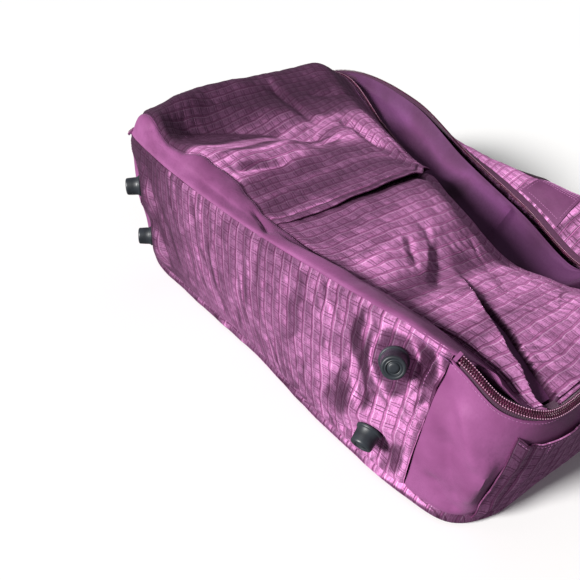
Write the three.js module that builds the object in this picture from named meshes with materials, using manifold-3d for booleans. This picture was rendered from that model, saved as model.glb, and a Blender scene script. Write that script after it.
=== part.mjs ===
// Soft zip-around travel bag, lying on its back panel, half empty and slumped.
// Millimetres. +X runs along the bag towards its near end, +Y from the studded
// base to the carry handle, +Z up from the back panel to the front lid.
// The origin is on the flat underside of the back panel.

import * as THREE from 'three';
import { mergeVertices } from 'three/addons/utils/BufferGeometryUtils.js';
import Module from 'manifold-3d';

// ---------------------------------------------------------------- dimensions

const FABRIC = 2.0;            // outer cloth with its foam backing
const LINING = 1.0;            // lining cloth
const TAPE = 0.8;              // zip tape
const WALL_START = 1.5;        // height of the walls' lower edge
const BACK_THICK = 2.0;        // back panel
const LINING_DEPTH = 9.0;      // wall lining behind the outer face
const BASE_LINING_DEPTH = 12;  // base lining behind the outer face
const LID_LINING_DEPTH = 6.0;  // lid lining behind the outer face
const LID_TAPE_CLOSED = 12;    // tape showing beside the closed zip, lid side
const LID_TAPE_OPEN = 5;       // tape showing along the open lid lip
const BODY_TAPE = 7;           // tape showing on the gusset side
const TAPE_TUCK = 5;           // tape sewn under the cloth edge
const COIL_WIDTH = 2.4;        // half of the closed coil
const COIL_HEIGHT = 2.2;

const STIFFENER = 1.6;         // flexible sheet that carries the feet
const STIFFENER_DEPTH = 3.0;   // its outer face behind the base cloth's face
const FOOT = { flangeRadius: 12, flange: 3, tipRadius: 9.5, length: 17, groove: 1.2 };
const SCREW = { shankRadius: 2, headRadius: 4, head: 1.8, depth: 9, clearance: 0.6 };
const WASHER = { outer: 7, inner: 2.7, thick: 0.9 };
const FOOT_FLAT = 20;          // radius that the cloth lies flat round a foot
const FOOT_BLEND = 46;         // radius where the cloth is back to its own shape

const BAND_COLOUR = 0xa55f9b;
const JACQUARD_COLOUR = 0x9c5b94;
const LINING_COLOUR = 0x73416e;
const TAPE_COLOUR = 0x6e4a64;
const COIL_COLOUR = 0x4b1432;
const RUBBER_COLOUR = 0x323a3e;
const WEBBING_COLOUR = 0x2c1526;

// -------------------------------------------------- the lines the cloth follows

// Stations go round the bag, seen from above, starting at the base's far seam.
// floor: where the wall leaves the back panel.   belly: halfway up the wall.
// rim: the wall's upper edge, which is the base seam and then the zip.
// lid: the lid's own edge, which leaves the rim where the zip is open.
const STATIONS = [
  { floor: [-215, -163], belly: [-228, -172, 92], rim: [-228, -170, 179] },
  { floor: [-112, -170], belly: [-118, -190, 92], rim: [-118, -189, 181] },
  { floor: [10, -174], belly: [12, -193, 88], rim: [13, -191, 174] },
  { floor: [138, -188], belly: [138, -198, 86], rim: [138, -192, 178] },
  { floor: [238, -190], belly: [250, -194, 92], rim: [262, -188, 179] },
  { floor: [281, -180], belly: [298, -187, 84], rim: [301, -177, 154] },
  { floor: [299, -150], belly: [316, -154, 78], rim: [322, -152, 143] },
  { floor: [304, -92], belly: [325, -96, 74], rim: [325, -104, 138] },
  { floor: [306, -15], belly: [328, -18, 70], rim: [315, -15, 128] },
  { floor: [304, 72], belly: [322, 72, 68], rim: [304, 74, 118] },
  { floor: [278, 158], belly: [290, 172, 72], rim: [262, 130, 88],
    lid: [262, 117, 80] },
  { floor: [205, 186], belly: [206, 212, 106], rim: [190, 146, 72],
    lid: [190, 106, 60] },
  { floor: [105, 190], belly: [108, 216, 111], rim: [98, 170, 97],
    lid: [100, 109, 62] },
  { floor: [0, 190], belly: [0, 212, 104], rim: [0, 177, 131],
    lid: [-7, 134, 92] },
  { floor: [-110, 188], belly: [-112, 206, 96], rim: [-106, 189, 172],
    lid: [-106, 139, 143] },
  { floor: [-228, 170], belly: [-240, 184, 92], rim: [-240, 186, 181],
    lid: [-242, 176, 178] },
  { floor: [-274, 110], belly: [-286, 112, 92], rim: [-291, 112, 162] },
  { floor: [-276, -60], belly: [-288, -64, 92], rim: [-292, -62, 158] },
  { floor: [-254, -136], belly: [-268, -147, 92], rim: [-270, -139, 166] },
];
const COUNT = STATIONS.length;
const BASE_START = 0;          // far seam of the base panel
const BASE_END = 4;            // near seam of the base panel, where the zip starts
const NEAR_TOP = 10;           // seam between the near gusset and the top gusset
const FAR_TOP = 15;            // seam between the top gusset and the far gusset
const LID_CENTRE = new THREE.Vector3(20, -30, 165);

// Width of the plain band, as a share of the lid's depth, along the base edge.
const BAND_SHARE = [[0, 0.165], [0.17, 0.135], [0.37, 0.125], [0.48, 0.092],
  [0.58, 0.064], [0.92, 0.064], [1, 0.2]];
const POCKET_MOUTH = 0.525;     // place of the front pocket's mouth along the lid
const POCKET_END = 0.985;      // where the pocket is sewn down at the near end
const POCKET_LIFT = 1.0;       // gap between the pocket and the panel under it
const POCKET_CLOTH = 1.2;
// How sharply each part of the lid drops to its lip: 1 is a straight slope.
const LID_DROP = [[0, 1.5], [0.3, 3], [0.57, 4.2], [0.78, 1.4], [1, 1.2]];
const LID_CROWN = 7;           // rise of the lid just behind the base edge
const FAR_CROWN = 34;          // rise of the lid just inside its far edge
const FAR_SPREAD = 0.022;
const CROWN_SPREAD = 0.05;     // share of the lid over which that rise settles

// Feet: share along the base panel, share up it, and the way each stud points.
const FEET = {
  foot_far_front: { along: 0.07, up: 0.7, axis: [-0.54, -0.84, -0.01] },
  foot_far_back: { along: 0.07, up: 0.32, axis: [-0.56, -0.83, 0.05] },
  foot_near_front: { along: 0.915, up: 0.8, axis: [0.6, -0.72, 0.35] },
  foot_near_back: { along: 0.9, up: 0.32, axis: [0.22, -0.88, -0.42] },
};

// ------------------------------------------------------------- small geometry

const vector = (p, z) => new THREE.Vector3(p[0], p[1], p.length > 2 ? p[2] : z);

// Centripetal Catmull-Rom curve through the points, closed or open.
function curveThrough(points, closed) {
  return new THREE.CatmullRomCurve3(points, closed, 'centripetal');
}

const FLOOR = curveThrough(STATIONS.map((s) => vector(s.floor, WALL_START)), true);
const BELLY = curveThrough(STATIONS.map((s) => vector(s.belly)), true);
const RIM = curveThrough(STATIONS.map((s) => vector(s.rim)), true);
const LID_RIM = curveThrough(STATIONS.map((s) => vector(s.lid || s.rim)), true);

const at = (curve, station) => {
  const share = (station / COUNT) % 1;
  return curve.getPoint(share < 0 ? share + 1 : share);
};

function smooth(share) {
  const s = THREE.MathUtils.clamp(share, 0, 1);
  return s * s * (3 - 2 * s);
}

// Value of a list of [place, value] pairs, eased between neighbours.
function along(pairs, place) {
  if (place <= pairs[0][0]) return pairs[0][1];
  for (let i = 1; i < pairs.length; i += 1) {
    const [x0, y0] = pairs[i - 1];
    const [x1, y1] = pairs[i];
    if (place <= x1) return y0 + (y1 - y0) * smooth((place - x0) / (x1 - x0));
  }
  return pairs[pairs.length - 1][1];
}

const range = (from, to, steps) => Array.from(
  { length: steps + 1 }, (_, i) => from + ((to - from) * i) / steps);

// Evenly spread places between two stations on a curve, measured in length.
function spread(curve, from, to, steps) {
  const fine = range(from, to, 240);
  const lengths = [0];
  let last = at(curve, fine[0]);
  for (const station of fine.slice(1)) {
    const next = at(curve, station);
    lengths.push(lengths[lengths.length - 1] + next.distanceTo(last));
    last = next;
  }
  const total = lengths[lengths.length - 1];
  return range(0, total, steps).map((wanted) => {
    let i = 1;
    while (i < lengths.length - 1 && lengths[i] < wanted) i += 1;
    const share = (wanted - lengths[i - 1]) / (lengths[i] - lengths[i - 1]);
    return fine[i - 1] + (fine[i] - fine[i - 1]) * share;
  });
}

// ------------------------------------------------------------------- surfaces

// The wall: a smooth section through floor, belly and rim at each station.
function wallPoint(station, up) {
  const a = at(FLOOR, station).multiplyScalar((1 - up) * (1 - 2 * up));
  const b = at(BELLY, station).multiplyScalar(4 * up * (1 - up));
  const c = at(RIM, station).multiplyScalar(up * (2 * up - 1));
  return a.add(b).add(c);
}

const BASE_STEPS = 60;         // fine steps that share out the base panel's length
const BASE_STATIONS = spread(RIM, BASE_START, BASE_END, BASE_STEPS);
function basePlain(share, up) {
  const place = THREE.MathUtils.clamp(share, 0, 1) * BASE_STEPS;
  const i = Math.min(BASE_STEPS - 1, Math.floor(place));
  const station = BASE_STATIONS[i] + (BASE_STATIONS[i + 1] - BASE_STATIONS[i]) * (place - i);
  return wallPoint(station, up);
}

const FOOT_PLACES = Object.entries(FEET).map(([name, foot]) => ({
  name,
  ...foot,
  centre: basePlain(foot.along, foot.up),
  axis: new THREE.Vector3(...foot.axis).normalize(),
}));

// The base panel: the wall, pulled flat and square to each stud round its foot.
function basePoint(share, up) {
  const point = basePlain(share, up);
  for (const foot of FOOT_PLACES) {
    const away = point.clone().sub(foot.centre);
    const height = away.dot(foot.axis);
    const reach = away.length();
    const pull = (1 - smooth((reach - FOOT_FLAT) / (FOOT_BLEND - FOOT_FLAT)))
      * smooth((1 - up) / 0.1);
    point.addScaledVector(foot.axis, -height * pull);
  }
  return point;
}

// Direction from the lid's edge towards its middle, square to the edge.
function inward(curve, station) {
  const here = at(curve, station);
  const tangent = at(curve, station + 0.02).sub(at(curve, station - 0.02)).normalize();
  const aim = LID_CENTRE.clone().sub(here);
  return aim.addScaledVector(tangent, -aim.dot(tangent)).normalize();
}

// Tape width on the lid side: none along the base, narrow along the open lip.
function lidTapeWidth(station) {
  if (station <= BASE_END || station >= COUNT) return 0;
  const start = smooth((station - BASE_END) / 0.5);
  const end = smooth((COUNT - station) / 0.5);
  const open = smooth((station - 9.2) / 0.8) * smooth((15.6 - station) / 0.8);
  return Math.min(start, end) * (LID_TAPE_CLOSED + (LID_TAPE_OPEN - LID_TAPE_CLOSED) * open);
}

function lidEdge(station) {
  const wrapped = station % COUNT;
  return at(LID_RIM, wrapped).addScaledVector(inward(LID_RIM, wrapped), lidTapeWidth(station));
}

// The lid cloth: a patch between its four edges, with the drop to the open lip.
const LID_STEPS = 80;
const side = (from, to) => spread(LID_RIM, from, to, LID_STEPS);
const LID_BASE = side(BASE_START, BASE_END);
const LID_LIP = side(FAR_TOP, NEAR_TOP);
const LID_FAR = side(COUNT, FAR_TOP);
const LID_NEAR = side(BASE_END, NEAR_TOP);

function sidePoint(stations, share) {
  const place = THREE.MathUtils.clamp(share, 0, 1) * LID_STEPS;
  const i = Math.min(LID_STEPS - 1, Math.floor(place));
  return lidEdge(stations[i] + (stations[i + 1] - stations[i]) * (place - i));
}

function lidPoint(across, out) {
  const base = sidePoint(LID_BASE, across);
  const lip = sidePoint(LID_LIP, across);
  const far = sidePoint(LID_FAR, out);
  const near = sidePoint(LID_NEAR, out);
  const point = base.clone().multiplyScalar(1 - out).addScaledVector(lip, out);
  point.addScaledVector(far, 1 - across).addScaledVector(near, across);
  point.addScaledVector(sidePoint(LID_BASE, 0), -(1 - across) * (1 - out));
  point.addScaledVector(sidePoint(LID_BASE, 1), -across * (1 - out));
  point.addScaledVector(sidePoint(LID_LIP, 0), -(1 - across) * out);
  point.addScaledVector(sidePoint(LID_LIP, 1), -across * out);
  const inside = smooth(across / 0.12) * smooth((1 - across) / 0.12);
  const drop = out ** along(LID_DROP, across) - out;
  const crown = LID_CROWN * (1 - Math.exp(-out / CROWN_SPREAD)) * (1 - out);
  const middle = smooth(out / 0.15) * smooth((1 - out) / 0.15);
  const farCrown = FAR_CROWN * (1 - Math.exp(-across / FAR_SPREAD)) * (1 - across) ** 2;
  point.z += inside * ((lip.z - base.z) * drop + crown) + middle * farCrown;
  return point;
}

// --------------------------------------------------------------- closed sheets

function meshOf(name, geometry, colour, roughness = 0.85, metalness = 0) {
  const material = new THREE.MeshStandardMaterial({ color: colour, roughness, metalness });
  const mesh = new THREE.Mesh(geometry, material);
  mesh.name = name;
  return mesh;
}

// Unit normals of a grid of points, by the differences of its neighbours.
function gridNormals(points) {
  const rows = points.length;
  const columns = points[0].length;
  return points.map((row, i) => row.map((_, j) => {
    const du = points[Math.min(i + 1, rows - 1)][j].clone().sub(points[Math.max(i - 1, 0)][j]);
    const dv = row[Math.min(j + 1, columns - 1)].clone().sub(row[Math.max(j - 1, 0)]);
    return du.cross(dv).normalize();
  }));
}

// One closed sheet between two offsets of a surface: us by vs, faces outward.
function sheet(surface, us, vs, outer, inner) {
  const points = us.map((u) => vs.map((v) => surface(u, v)));
  const normals = gridNormals(points);
  const rows = us.length;
  const columns = vs.length;
  const positions = [];
  for (const offset of [outer, inner]) {
    for (let i = 0; i < rows; i += 1) {
      for (let j = 0; j < columns; j += 1) {
        const p = points[i][j].clone().addScaledVector(normals[i][j], offset);
        positions.push(p.x, p.y, p.z);
      }
    }
  }
  const low = rows * columns;
  const id = (i, j) => i * columns + j;
  const faces = [];
  const quad = (a, b, c, d) => faces.push(a, b, c, a, c, d);
  for (let i = 0; i < rows - 1; i += 1) {
    for (let j = 0; j < columns - 1; j += 1) {
      quad(id(i, j), id(i + 1, j), id(i + 1, j + 1), id(i, j + 1));
      quad(low + id(i, j), low + id(i, j + 1), low + id(i + 1, j + 1), low + id(i + 1, j));
    }
  }
  for (let i = 0; i < rows - 1; i += 1) {
    quad(id(i + 1, 0), id(i, 0), low + id(i, 0), low + id(i + 1, 0));
    const j = columns - 1;
    quad(id(i, j), id(i + 1, j), low + id(i + 1, j), low + id(i, j));
  }
  for (let j = 0; j < columns - 1; j += 1) {
    quad(id(0, j), id(0, j + 1), low + id(0, j + 1), low + id(0, j));
    const i = rows - 1;
    quad(id(i, j + 1), id(i, j), low + id(i, j), low + id(i, j + 1));
  }
  const geometry = new THREE.BufferGeometry();
  geometry.setAttribute('position', new THREE.Float32BufferAttribute(positions, 3));
  geometry.setIndex(faces);
  return geometry;
}

// A bar of rectangular section along a list of frames {point, side, normal}.
function bar(frames, width, height, lift = 0) {
  const corners = [[-0.5, 0], [0.5, 0], [0.5, 1], [-0.5, 1]];
  const positions = [];
  for (const frame of frames) {
    for (const [a, b] of corners) {
      const p = frame.point.clone().addScaledVector(frame.side, a * width);
      p.addScaledVector(frame.normal, lift + b * height);
      positions.push(p.x, p.y, p.z);
    }
  }
  const faces = [];
  const last = frames.length - 1;
  for (let i = 0; i < last; i += 1) {
    for (let k = 0; k < 4; k += 1) {
      const a = i * 4 + k;
      const b = i * 4 + ((k + 1) % 4);
      faces.push(a, b, b + 4, a, b + 4, a + 4);
    }
  }
  faces.push(0, 2, 1, 0, 3, 2);
  const e = last * 4;
  faces.push(e, e + 1, e + 2, e, e + 2, e + 3);
  const geometry = new THREE.BufferGeometry();
  geometry.setAttribute('position', new THREE.Float32BufferAttribute(positions, 3));
  geometry.setIndex(faces);
  return geometry;
}

// Turns a geometry inside out when its volume comes out negative.
function outward(geometry) {
  const position = geometry.getAttribute('position');
  const index = geometry.getIndex().array;
  const a = new THREE.Vector3();
  const b = new THREE.Vector3();
  const c = new THREE.Vector3();
  let volume = 0;
  for (let i = 0; i < index.length; i += 3) {
    a.fromBufferAttribute(position, index[i]);
    b.fromBufferAttribute(position, index[i + 1]);
    c.fromBufferAttribute(position, index[i + 2]);
    volume += a.dot(b.cross(c)) / 6;
  }
  if (volume < 0) {
    for (let i = 0; i < index.length; i += 3) {
      [index[i + 1], index[i + 2]] = [index[i + 2], index[i + 1]];
    }
  }
  return geometry;
}

// ------------------------------------------------------------- boolean helper

const wasm = await Module();
wasm.setup();

function welded(geometry) {
  const plain = geometry.clone();
  plain.deleteAttribute('normal');
  plain.deleteAttribute('uv');
  return mergeVertices(plain, 1e-4);
}

function solidOf(geometry) {
  const shared = welded(geometry);
  return new wasm.Manifold(new wasm.Mesh({
    numProp: 3,
    vertProperties: new Float32Array(shared.getAttribute('position').array),
    triVerts: new Uint32Array(shared.getIndex().array),
  }));
}

function cut(geometry, tools) {
  let solid = solidOf(geometry);
  for (const tool of tools) solid = solid.subtract(solidOf(tool));
  const mesh = solid.getMesh();
  const result = new THREE.BufferGeometry();
  result.setAttribute('position', new THREE.BufferAttribute(mesh.vertProperties, 3));
  result.setIndex(new THREE.BufferAttribute(mesh.triVerts, 1));
  return result;
}

// ------------------------------------------------------------------ the walls

const bag = new THREE.Group();
const lidGroup = new THREE.Group();
bag.add(lidGroup);

const reach = (surface, u, from, to) => surface(u, from).distanceTo(surface(u, to));

// Share of the wall's height that leaves a strip of the given width at the rim.
function rimStop(station, strip) {
  return 1 - strip / reach(wallPoint, station, 0.7, 1) * 0.3;
}

// A stretch of wall cloth, stopping short of the zip.
function wallCloth(from, to, steps, levels, offset = 0, thick = FABRIC, strip = BODY_TAPE) {
  const us = spread(RIM, from, to, steps);
  const surface = (u, v) => wallPoint(u, v * rimStop(u, strip));
  return sheet(surface, us, range(0, 1, levels), offset, offset - thick);
}

const STATION_GAP = 0.02;      // a seam gap, in stations

// Columns and rows of the base panel, closer together round the feet.
const BASE_COLUMNS = [0.003, 0.022, 0.041, 0.07, 0.099, 0.13, 0.17, 0.25, 0.35, 0.46, 0.57, 0.68,
  0.77, 0.82, 0.85, 0.871, 0.9, 0.929, 0.95, 0.975, 0.997];
const BASE_ROWS = [0, 0.12, 0.2, 0.24, 0.32, 0.4, 0.5, 0.61, 0.72, 0.8, 0.88, 0.935, 0.966];

function footTransform(foot, geometry, lift) {
  const turn = new THREE.Quaternion();
  turn.setFromUnitVectors(new THREE.Vector3(0, 0, 1), foot.axis);
  const moved = geometry.clone().applyQuaternion(turn);
  const place = foot.centre.clone().addScaledVector(foot.axis, lift);
  return moved.translate(place.x, place.y, place.z);
}

function cylinderAlongZ(radius, from, to, sides = 10) {
  const rod = new THREE.CylinderGeometry(radius, radius, to - from, sides);
  rod.rotateX(Math.PI / 2);
  return rod.translate(0, 0, (from + to) / 2);
}

const screwHoles = FOOT_PLACES.map((foot) => footTransform(
  foot, cylinderAlongZ(SCREW.shankRadius + SCREW.clearance, -16, 8), 0));

function basePanel() {
  const cloth = outward(sheet(basePoint, BASE_COLUMNS, BASE_ROWS, 0, -FABRIC));
  return meshOf('base_panel', cut(cloth, screwHoles), JACQUARD_COLOUR);
}

function baseStiffener() {
  const columns = BASE_COLUMNS.slice(1, -1);
  const rows = BASE_ROWS.slice(1, -1);
  const outer = -STIFFENER_DEPTH;
  const plate = outward(sheet(basePoint, columns, rows, outer, outer - STIFFENER));
  return meshOf('base_stiffener', cut(plate, screwHoles), 0x2a2a2c, 0.7);
}

function gussets() {
  const gap = STATION_GAP;
  const near = outward(wallCloth(BASE_END + gap, NEAR_TOP - gap, 20, 5));
  const top = outward(wallCloth(NEAR_TOP + gap, FAR_TOP - gap, 20, 7));
  const far = outward(wallCloth(FAR_TOP + gap, COUNT - gap, 14, 5));
  return [
    meshOf('near_gusset', near, BAND_COLOUR),
    meshOf('top_gusset', top, JACQUARD_COLOUR),
    meshOf('far_gusset', far, BAND_COLOUR),
  ];
}

// Slip pockets sewn on the two ends: low patches with an open upper edge.
const END_POCKET = { gap: 1.7, thick: 1.2, low: 0.05, high: 0.64 };
function endPocket(name, from, to) {
  const { gap, thick, low, high } = END_POCKET;
  const us = spread(RIM, from, to, 10);
  const surface = (u, v) => wallPoint(u, v);
  const patch = outward(sheet(surface, us, range(low, high, 3), gap + thick, gap));
  return meshOf(name, patch, JACQUARD_COLOUR);
}

// Flat plate inside the floor line, drawn in by the given distance.
function floorPlate(name, inset, low, high, colour) {
  const outline = spread(FLOOR, 0, COUNT, 56).slice(0, -1).map((station) => {
    const here = at(FLOOR, station);
    const ahead = at(FLOOR, station + 0.02);
    const behind = at(FLOOR, station - 0.02);
    const tangent = ahead.sub(behind).normalize();
    return new THREE.Vector2(here.x - tangent.y * inset, here.y + tangent.x * inset);
  });
  const shape = new THREE.Shape(outline);
  const plate = new THREE.ExtrudeGeometry(shape, { depth: high - low, bevelEnabled: false });
  plate.translate(0, 0, low);
  return meshOf(name, plate, colour);
}

// Lining behind the gussets, from one end of the base round to the other.
function wallLining() {
  const us = spread(RIM, BASE_END + 0.05, COUNT - 0.05, 30);
  const strip = outward(sheet(wallPoint, us, [0.06, 0.25, 0.48, 0.7, 0.9],
    -LINING_DEPTH, -LINING_DEPTH - LINING));
  return meshOf('wall_lining', strip, LINING_COLOUR);
}

// Lining behind the base, over the stiffener and the screw heads.
function baseLining() {
  const columns = BASE_COLUMNS.slice(1, -1).filter((_, i) => i % 2 === 0);
  const rows = [0.12, 0.24, 0.4, 0.61, 0.8, 0.87];
  const depth = -BASE_LINING_DEPTH;
  const strip = outward(sheet(basePoint, columns, rows, depth, depth - LINING));
  return meshOf('base_lining', strip, LINING_COLOUR);
}

// --------------------------------------------------------------------- feet

function footMeshes(foot) {
  const r = FOOT;
  const hole = SCREW.shankRadius + 0.4;
  const deep = SCREW.depth + 0.5;
  const profile = [[0, deep], [hole, deep], [hole, 0], [r.flangeRadius, 0],
    [r.flangeRadius, r.flange - 0.8], [r.flangeRadius - 0.8, r.flange],
    [r.tipRadius + 0.4, r.flange], [r.tipRadius, r.length - 1.2],
    [r.tipRadius - 1.2, r.length], [6, r.length], [5.6, r.length - r.groove],
    [4.6, r.length - r.groove], [4.2, r.length], [0, r.length]];
  const turned = new THREE.LatheGeometry(profile.map((p) => new THREE.Vector2(...p)), 14);
  turned.rotateX(Math.PI / 2);
  const stud = footTransform(foot, turned, 0.8);

  const under = -STIFFENER_DEPTH - STIFFENER;
  const ring = new THREE.LatheGeometry([[WASHER.inner, 0], [WASHER.outer, 0],
    [WASHER.outer, WASHER.thick], [WASHER.inner, WASHER.thick], [WASHER.inner, 0]]
    .map((p) => new THREE.Vector2(...p)), 12);
  ring.rotateX(Math.PI / 2);
  const washerTop = under - 0.4;
  const washer = footTransform(foot, ring, washerTop - WASHER.thick);

  const screwTop = washerTop - WASHER.thick - 0.4;
  const shank = SCREW.depth - screwTop;
  const pin = new THREE.LatheGeometry([[0, -SCREW.head], [SCREW.headRadius - 0.8, -SCREW.head],
    [SCREW.headRadius, -0.6], [SCREW.headRadius, 0], [SCREW.shankRadius, 0],
    [SCREW.shankRadius, shank], [0, shank]].map((p) => new THREE.Vector2(...p)), 10);
  pin.rotateX(Math.PI / 2);
  const screw = footTransform(foot, pin, screwTop);

  const suffix = foot.name.replace('foot_', '');
  return [
    meshOf(foot.name, outward(welded(stud)), RUBBER_COLOUR, 0.55),
    meshOf(`washer_${suffix}`, outward(welded(washer)), 0xb8b8b8, 0.35, 0.9),
    meshOf(`screw_${suffix}`, outward(welded(screw)), 0xb0b0b0, 0.35, 0.9),
  ];
}

// ----------------------------------------------------------------------- lid

const bandShare = (across) => along(BAND_SHARE, across);
const LID_COLUMNS = [0.006, 0.018, 0.036, ...range(0.06, 0.994, 24)];
const LID_ROWS = [0, 0.03, 0.1, 0.22, 0.35, 0.48, 0.61, 0.74, 0.86, 0.97, 1];

// A panel of the lid between two lines across it.
function lidPanel(columns, from, to, rows, outer, inner) {
  const surface = (u, v) => {
    const low = from(u);
    return lidPoint(u, low + (to(u) - low) * v);
  };
  return outward(sheet(surface, columns, rows, outer, inner));
}

function lidPanels() {
  const clothStart = (u) => bandShare(u);
  const cornerCut = (u) => 1 - smooth(Math.min(u, 1 - u) / 0.07);
  const clothEnd = (u) => 0.996 - 0.034 * cornerCut(u);
  const band = lidPanel(LID_COLUMNS, () => 0.012, (u) => bandShare(u) - 0.006,
    range(0, 1, 4), 0, -FABRIC);
  const front = lidPanel(LID_COLUMNS, clothStart, clothEnd, LID_ROWS, 0, -FABRIC);
  const pocketColumns = [POCKET_MOUTH, ...LID_COLUMNS.filter((u) => u > POCKET_MOUTH + 0.01)];
  pocketColumns[pocketColumns.length - 1] = POCKET_END;
  const pocketRows = LID_ROWS.slice(1, -1);
  const pocket = lidPanel(pocketColumns, clothStart, clothEnd, pocketRows,
    POCKET_LIFT + POCKET_CLOTH, POCKET_LIFT);
  const lining = lidPanel(range(0.06, 0.94, 14), () => 0.09, () => 0.95, range(0, 1, 6),
    -LID_LINING_DEPTH, -LID_LINING_DEPTH - LINING);
  return [
    meshOf('front_band', band, BAND_COLOUR),
    meshOf('front_panel', front, JACQUARD_COLOUR),
    meshOf('front_pocket', pocket, JACQUARD_COLOUR),
    meshOf('lid_lining', lining, LINING_COLOUR),
  ];
}

// ----------------------------------------------------------------------- zip

const ZIP_START = BASE_END + 0.12;
const ZIP_END = COUNT - 0.12;
const ZIP_STATIONS = spread(LID_RIM, ZIP_START, ZIP_END, 60);

// Frame of the zip: side points from the gusset to the lid, normal outward.
function zipFrame(curve, station, lidSide) {
  const point = at(curve, station);
  const tangent = at(curve, station + 0.02).sub(at(curve, station - 0.02)).normalize();
  const climb = at(RIM, station).sub(wallPoint(station, 0.92));
  const across = inward(LID_RIM, station);
  const gap = at(RIM, station).distanceTo(at(LID_RIM, station));
  const apart = smooth(gap / 10);
  const aim = lidSide
    ? across.clone().addScaledVector(climb.normalize(), 1 - apart)
    : climb.normalize().addScaledVector(across, 1 - apart);
  aim.addScaledVector(tangent, -aim.dot(tangent)).normalize();
  const normal = tangent.clone().cross(aim).normalize();
  return { point, side: aim, normal };
}

function shifted(frame, sideways, lift) {
  const point = frame.point.clone().addScaledVector(frame.side, sideways);
  point.addScaledVector(frame.normal, lift);
  return { ...frame, point };
}

function coil(curve, lidSide) {
  const away = (lidSide ? 1 : -1) * (COIL_WIDTH / 2 + 0.3);
  const frames = ZIP_STATIONS.map((s) => shifted(zipFrame(curve, s, lidSide), away, 0));
  return outward(bar(frames, COIL_WIDTH, COIL_HEIGHT, 0));
}

const TAPE_DEPTH = FABRIC + 2.0 + TAPE / 2;   // tape's middle behind the cloth's face
const LID_TAPE_DEPTH = TAPE_DEPTH + 2.8;

// Outward normal of the wall cloth.
function wallNormal(station, up) {
  const du = wallPoint(station + 0.01, up).sub(wallPoint(station - 0.01, up));
  const dv = wallPoint(station, up + 0.005).sub(wallPoint(station, up - 0.005));
  return du.cross(dv).normalize();
}

// Place on the lid cloth, a given distance in from its edge at a station.
function lidInside(station, distance) {
  const share = (list) => {
    const rising = list[0] < list[LID_STEPS];
    let i = 0;
    while (i < LID_STEPS - 1 && (rising ? list[i + 1] < station : list[i + 1] > station)) i += 1;
    return (i + (station - list[i]) / (list[i + 1] - list[i])) / LID_STEPS;
  };
  let place = [0, share(LID_FAR)];
  if (station < NEAR_TOP) place = [1, share(LID_NEAR)];
  else if (station < FAR_TOP) place = [share(LID_LIP), 1];
  const way = [0.5 - place[0], (0.5 - place[1])];
  const step = 0.02;
  const here = lidPoint(...place);
  const there = lidPoint(place[0] + way[0] * step, place[1] + way[1] * step);
  const scale = (step * distance) / here.distanceTo(there);
  return [place[0] + way[0] * scale, place[1] + way[1] * scale];
}

function lidNormal(across, out) {
  const du = lidPoint(across + 0.004, out).sub(lidPoint(across - 0.004, out));
  const dv = lidPoint(across, out + 0.004).sub(lidPoint(across, out - 0.004));
  return du.cross(dv).normalize();
}

// Tape from beside its coil, dipping under the cloth edge to its hidden tuck.
function tape(lidSide) {
  const curve = lidSide ? LID_RIM : RIM;
  const rows = ZIP_STATIONS.slice(1, -1).map((station) => {
    const frame = zipFrame(curve, station, lidSide);
    const clear = COIL_WIDTH + 0.9;
    const start = frame.point.clone().addScaledVector(frame.side, lidSide ? clear : -clear);
    const behind = (strip) => {
      if (!lidSide) {
        const up = rimStop(station, strip);
        return wallPoint(station, up).addScaledVector(wallNormal(station, up), -TAPE_DEPTH);
      }
      const place = lidInside(station, strip);
      return lidPoint(...place).addScaledVector(lidNormal(...place), -LID_TAPE_DEPTH);
    };
    const strips = lidSide ? [1.5, TAPE_TUCK + 2] : [BODY_TAPE - 1, BODY_TAPE + TAPE_TUCK];
    return [start, ...strips.map(behind)];
  });
  const surface = (i, j) => rows[i][j].clone();
  const us = rows.map((_, i) => i);
  return outward(sheet(surface, us, [0, 1, 2], TAPE / 2, -TAPE / 2));
}

// Slider: a waisted block that rides over the closed coil, with a bridge loop.
const SLIDER = { length: 17, width: 11, height: 3, clearance: 1.2 };
const BRIDGE = { reach: 5.5, height: 4.4, thick: 1.1, width: 2.4 };
const PULL = { length: 34, width: 9, thick: 1.4, lift: 0.95, bar: 0.9 };
const PULL_EYE = { from: 1.3, to: 7, half: 2.3 };
const NEAR_SLIDER_STATION = 8.6;
const FAR_SLIDER_STATION = 16.3;

// Axes of a slider: X along the zip, Y across it, Z outward, on top of the coil.
function sliderFrame(station) {
  const frame = zipFrame(LID_RIM, station, true);
  const tangent = frame.side.clone().cross(frame.normal).normalize();
  const turn = new THREE.Matrix4().makeBasis(tangent, frame.side, frame.normal);
  const lift = COIL_HEIGHT + SLIDER.clearance;
  return turn.setPosition(frame.point.clone().addScaledVector(frame.normal, lift));
}

// Outline in the XY plane, drawn up from one level to another.
function slab(points, low, high, holes = []) {
  const shape = new THREE.Shape(points.map((p) => new THREE.Vector2(...p)));
  shape.holes.push(...holes);
  const block = new THREE.ExtrudeGeometry(shape, { depth: high - low, bevelEnabled: false });
  return block.translate(0, 0, low);
}

function join(a, b) {
  const mesh = solidOf(a).add(solidOf(b)).getMesh();
  const result = new THREE.BufferGeometry();
  result.setAttribute('position', new THREE.BufferAttribute(mesh.vertProperties, 3));
  result.setIndex(new THREE.BufferAttribute(mesh.triVerts, 1));
  return result;
}

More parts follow.
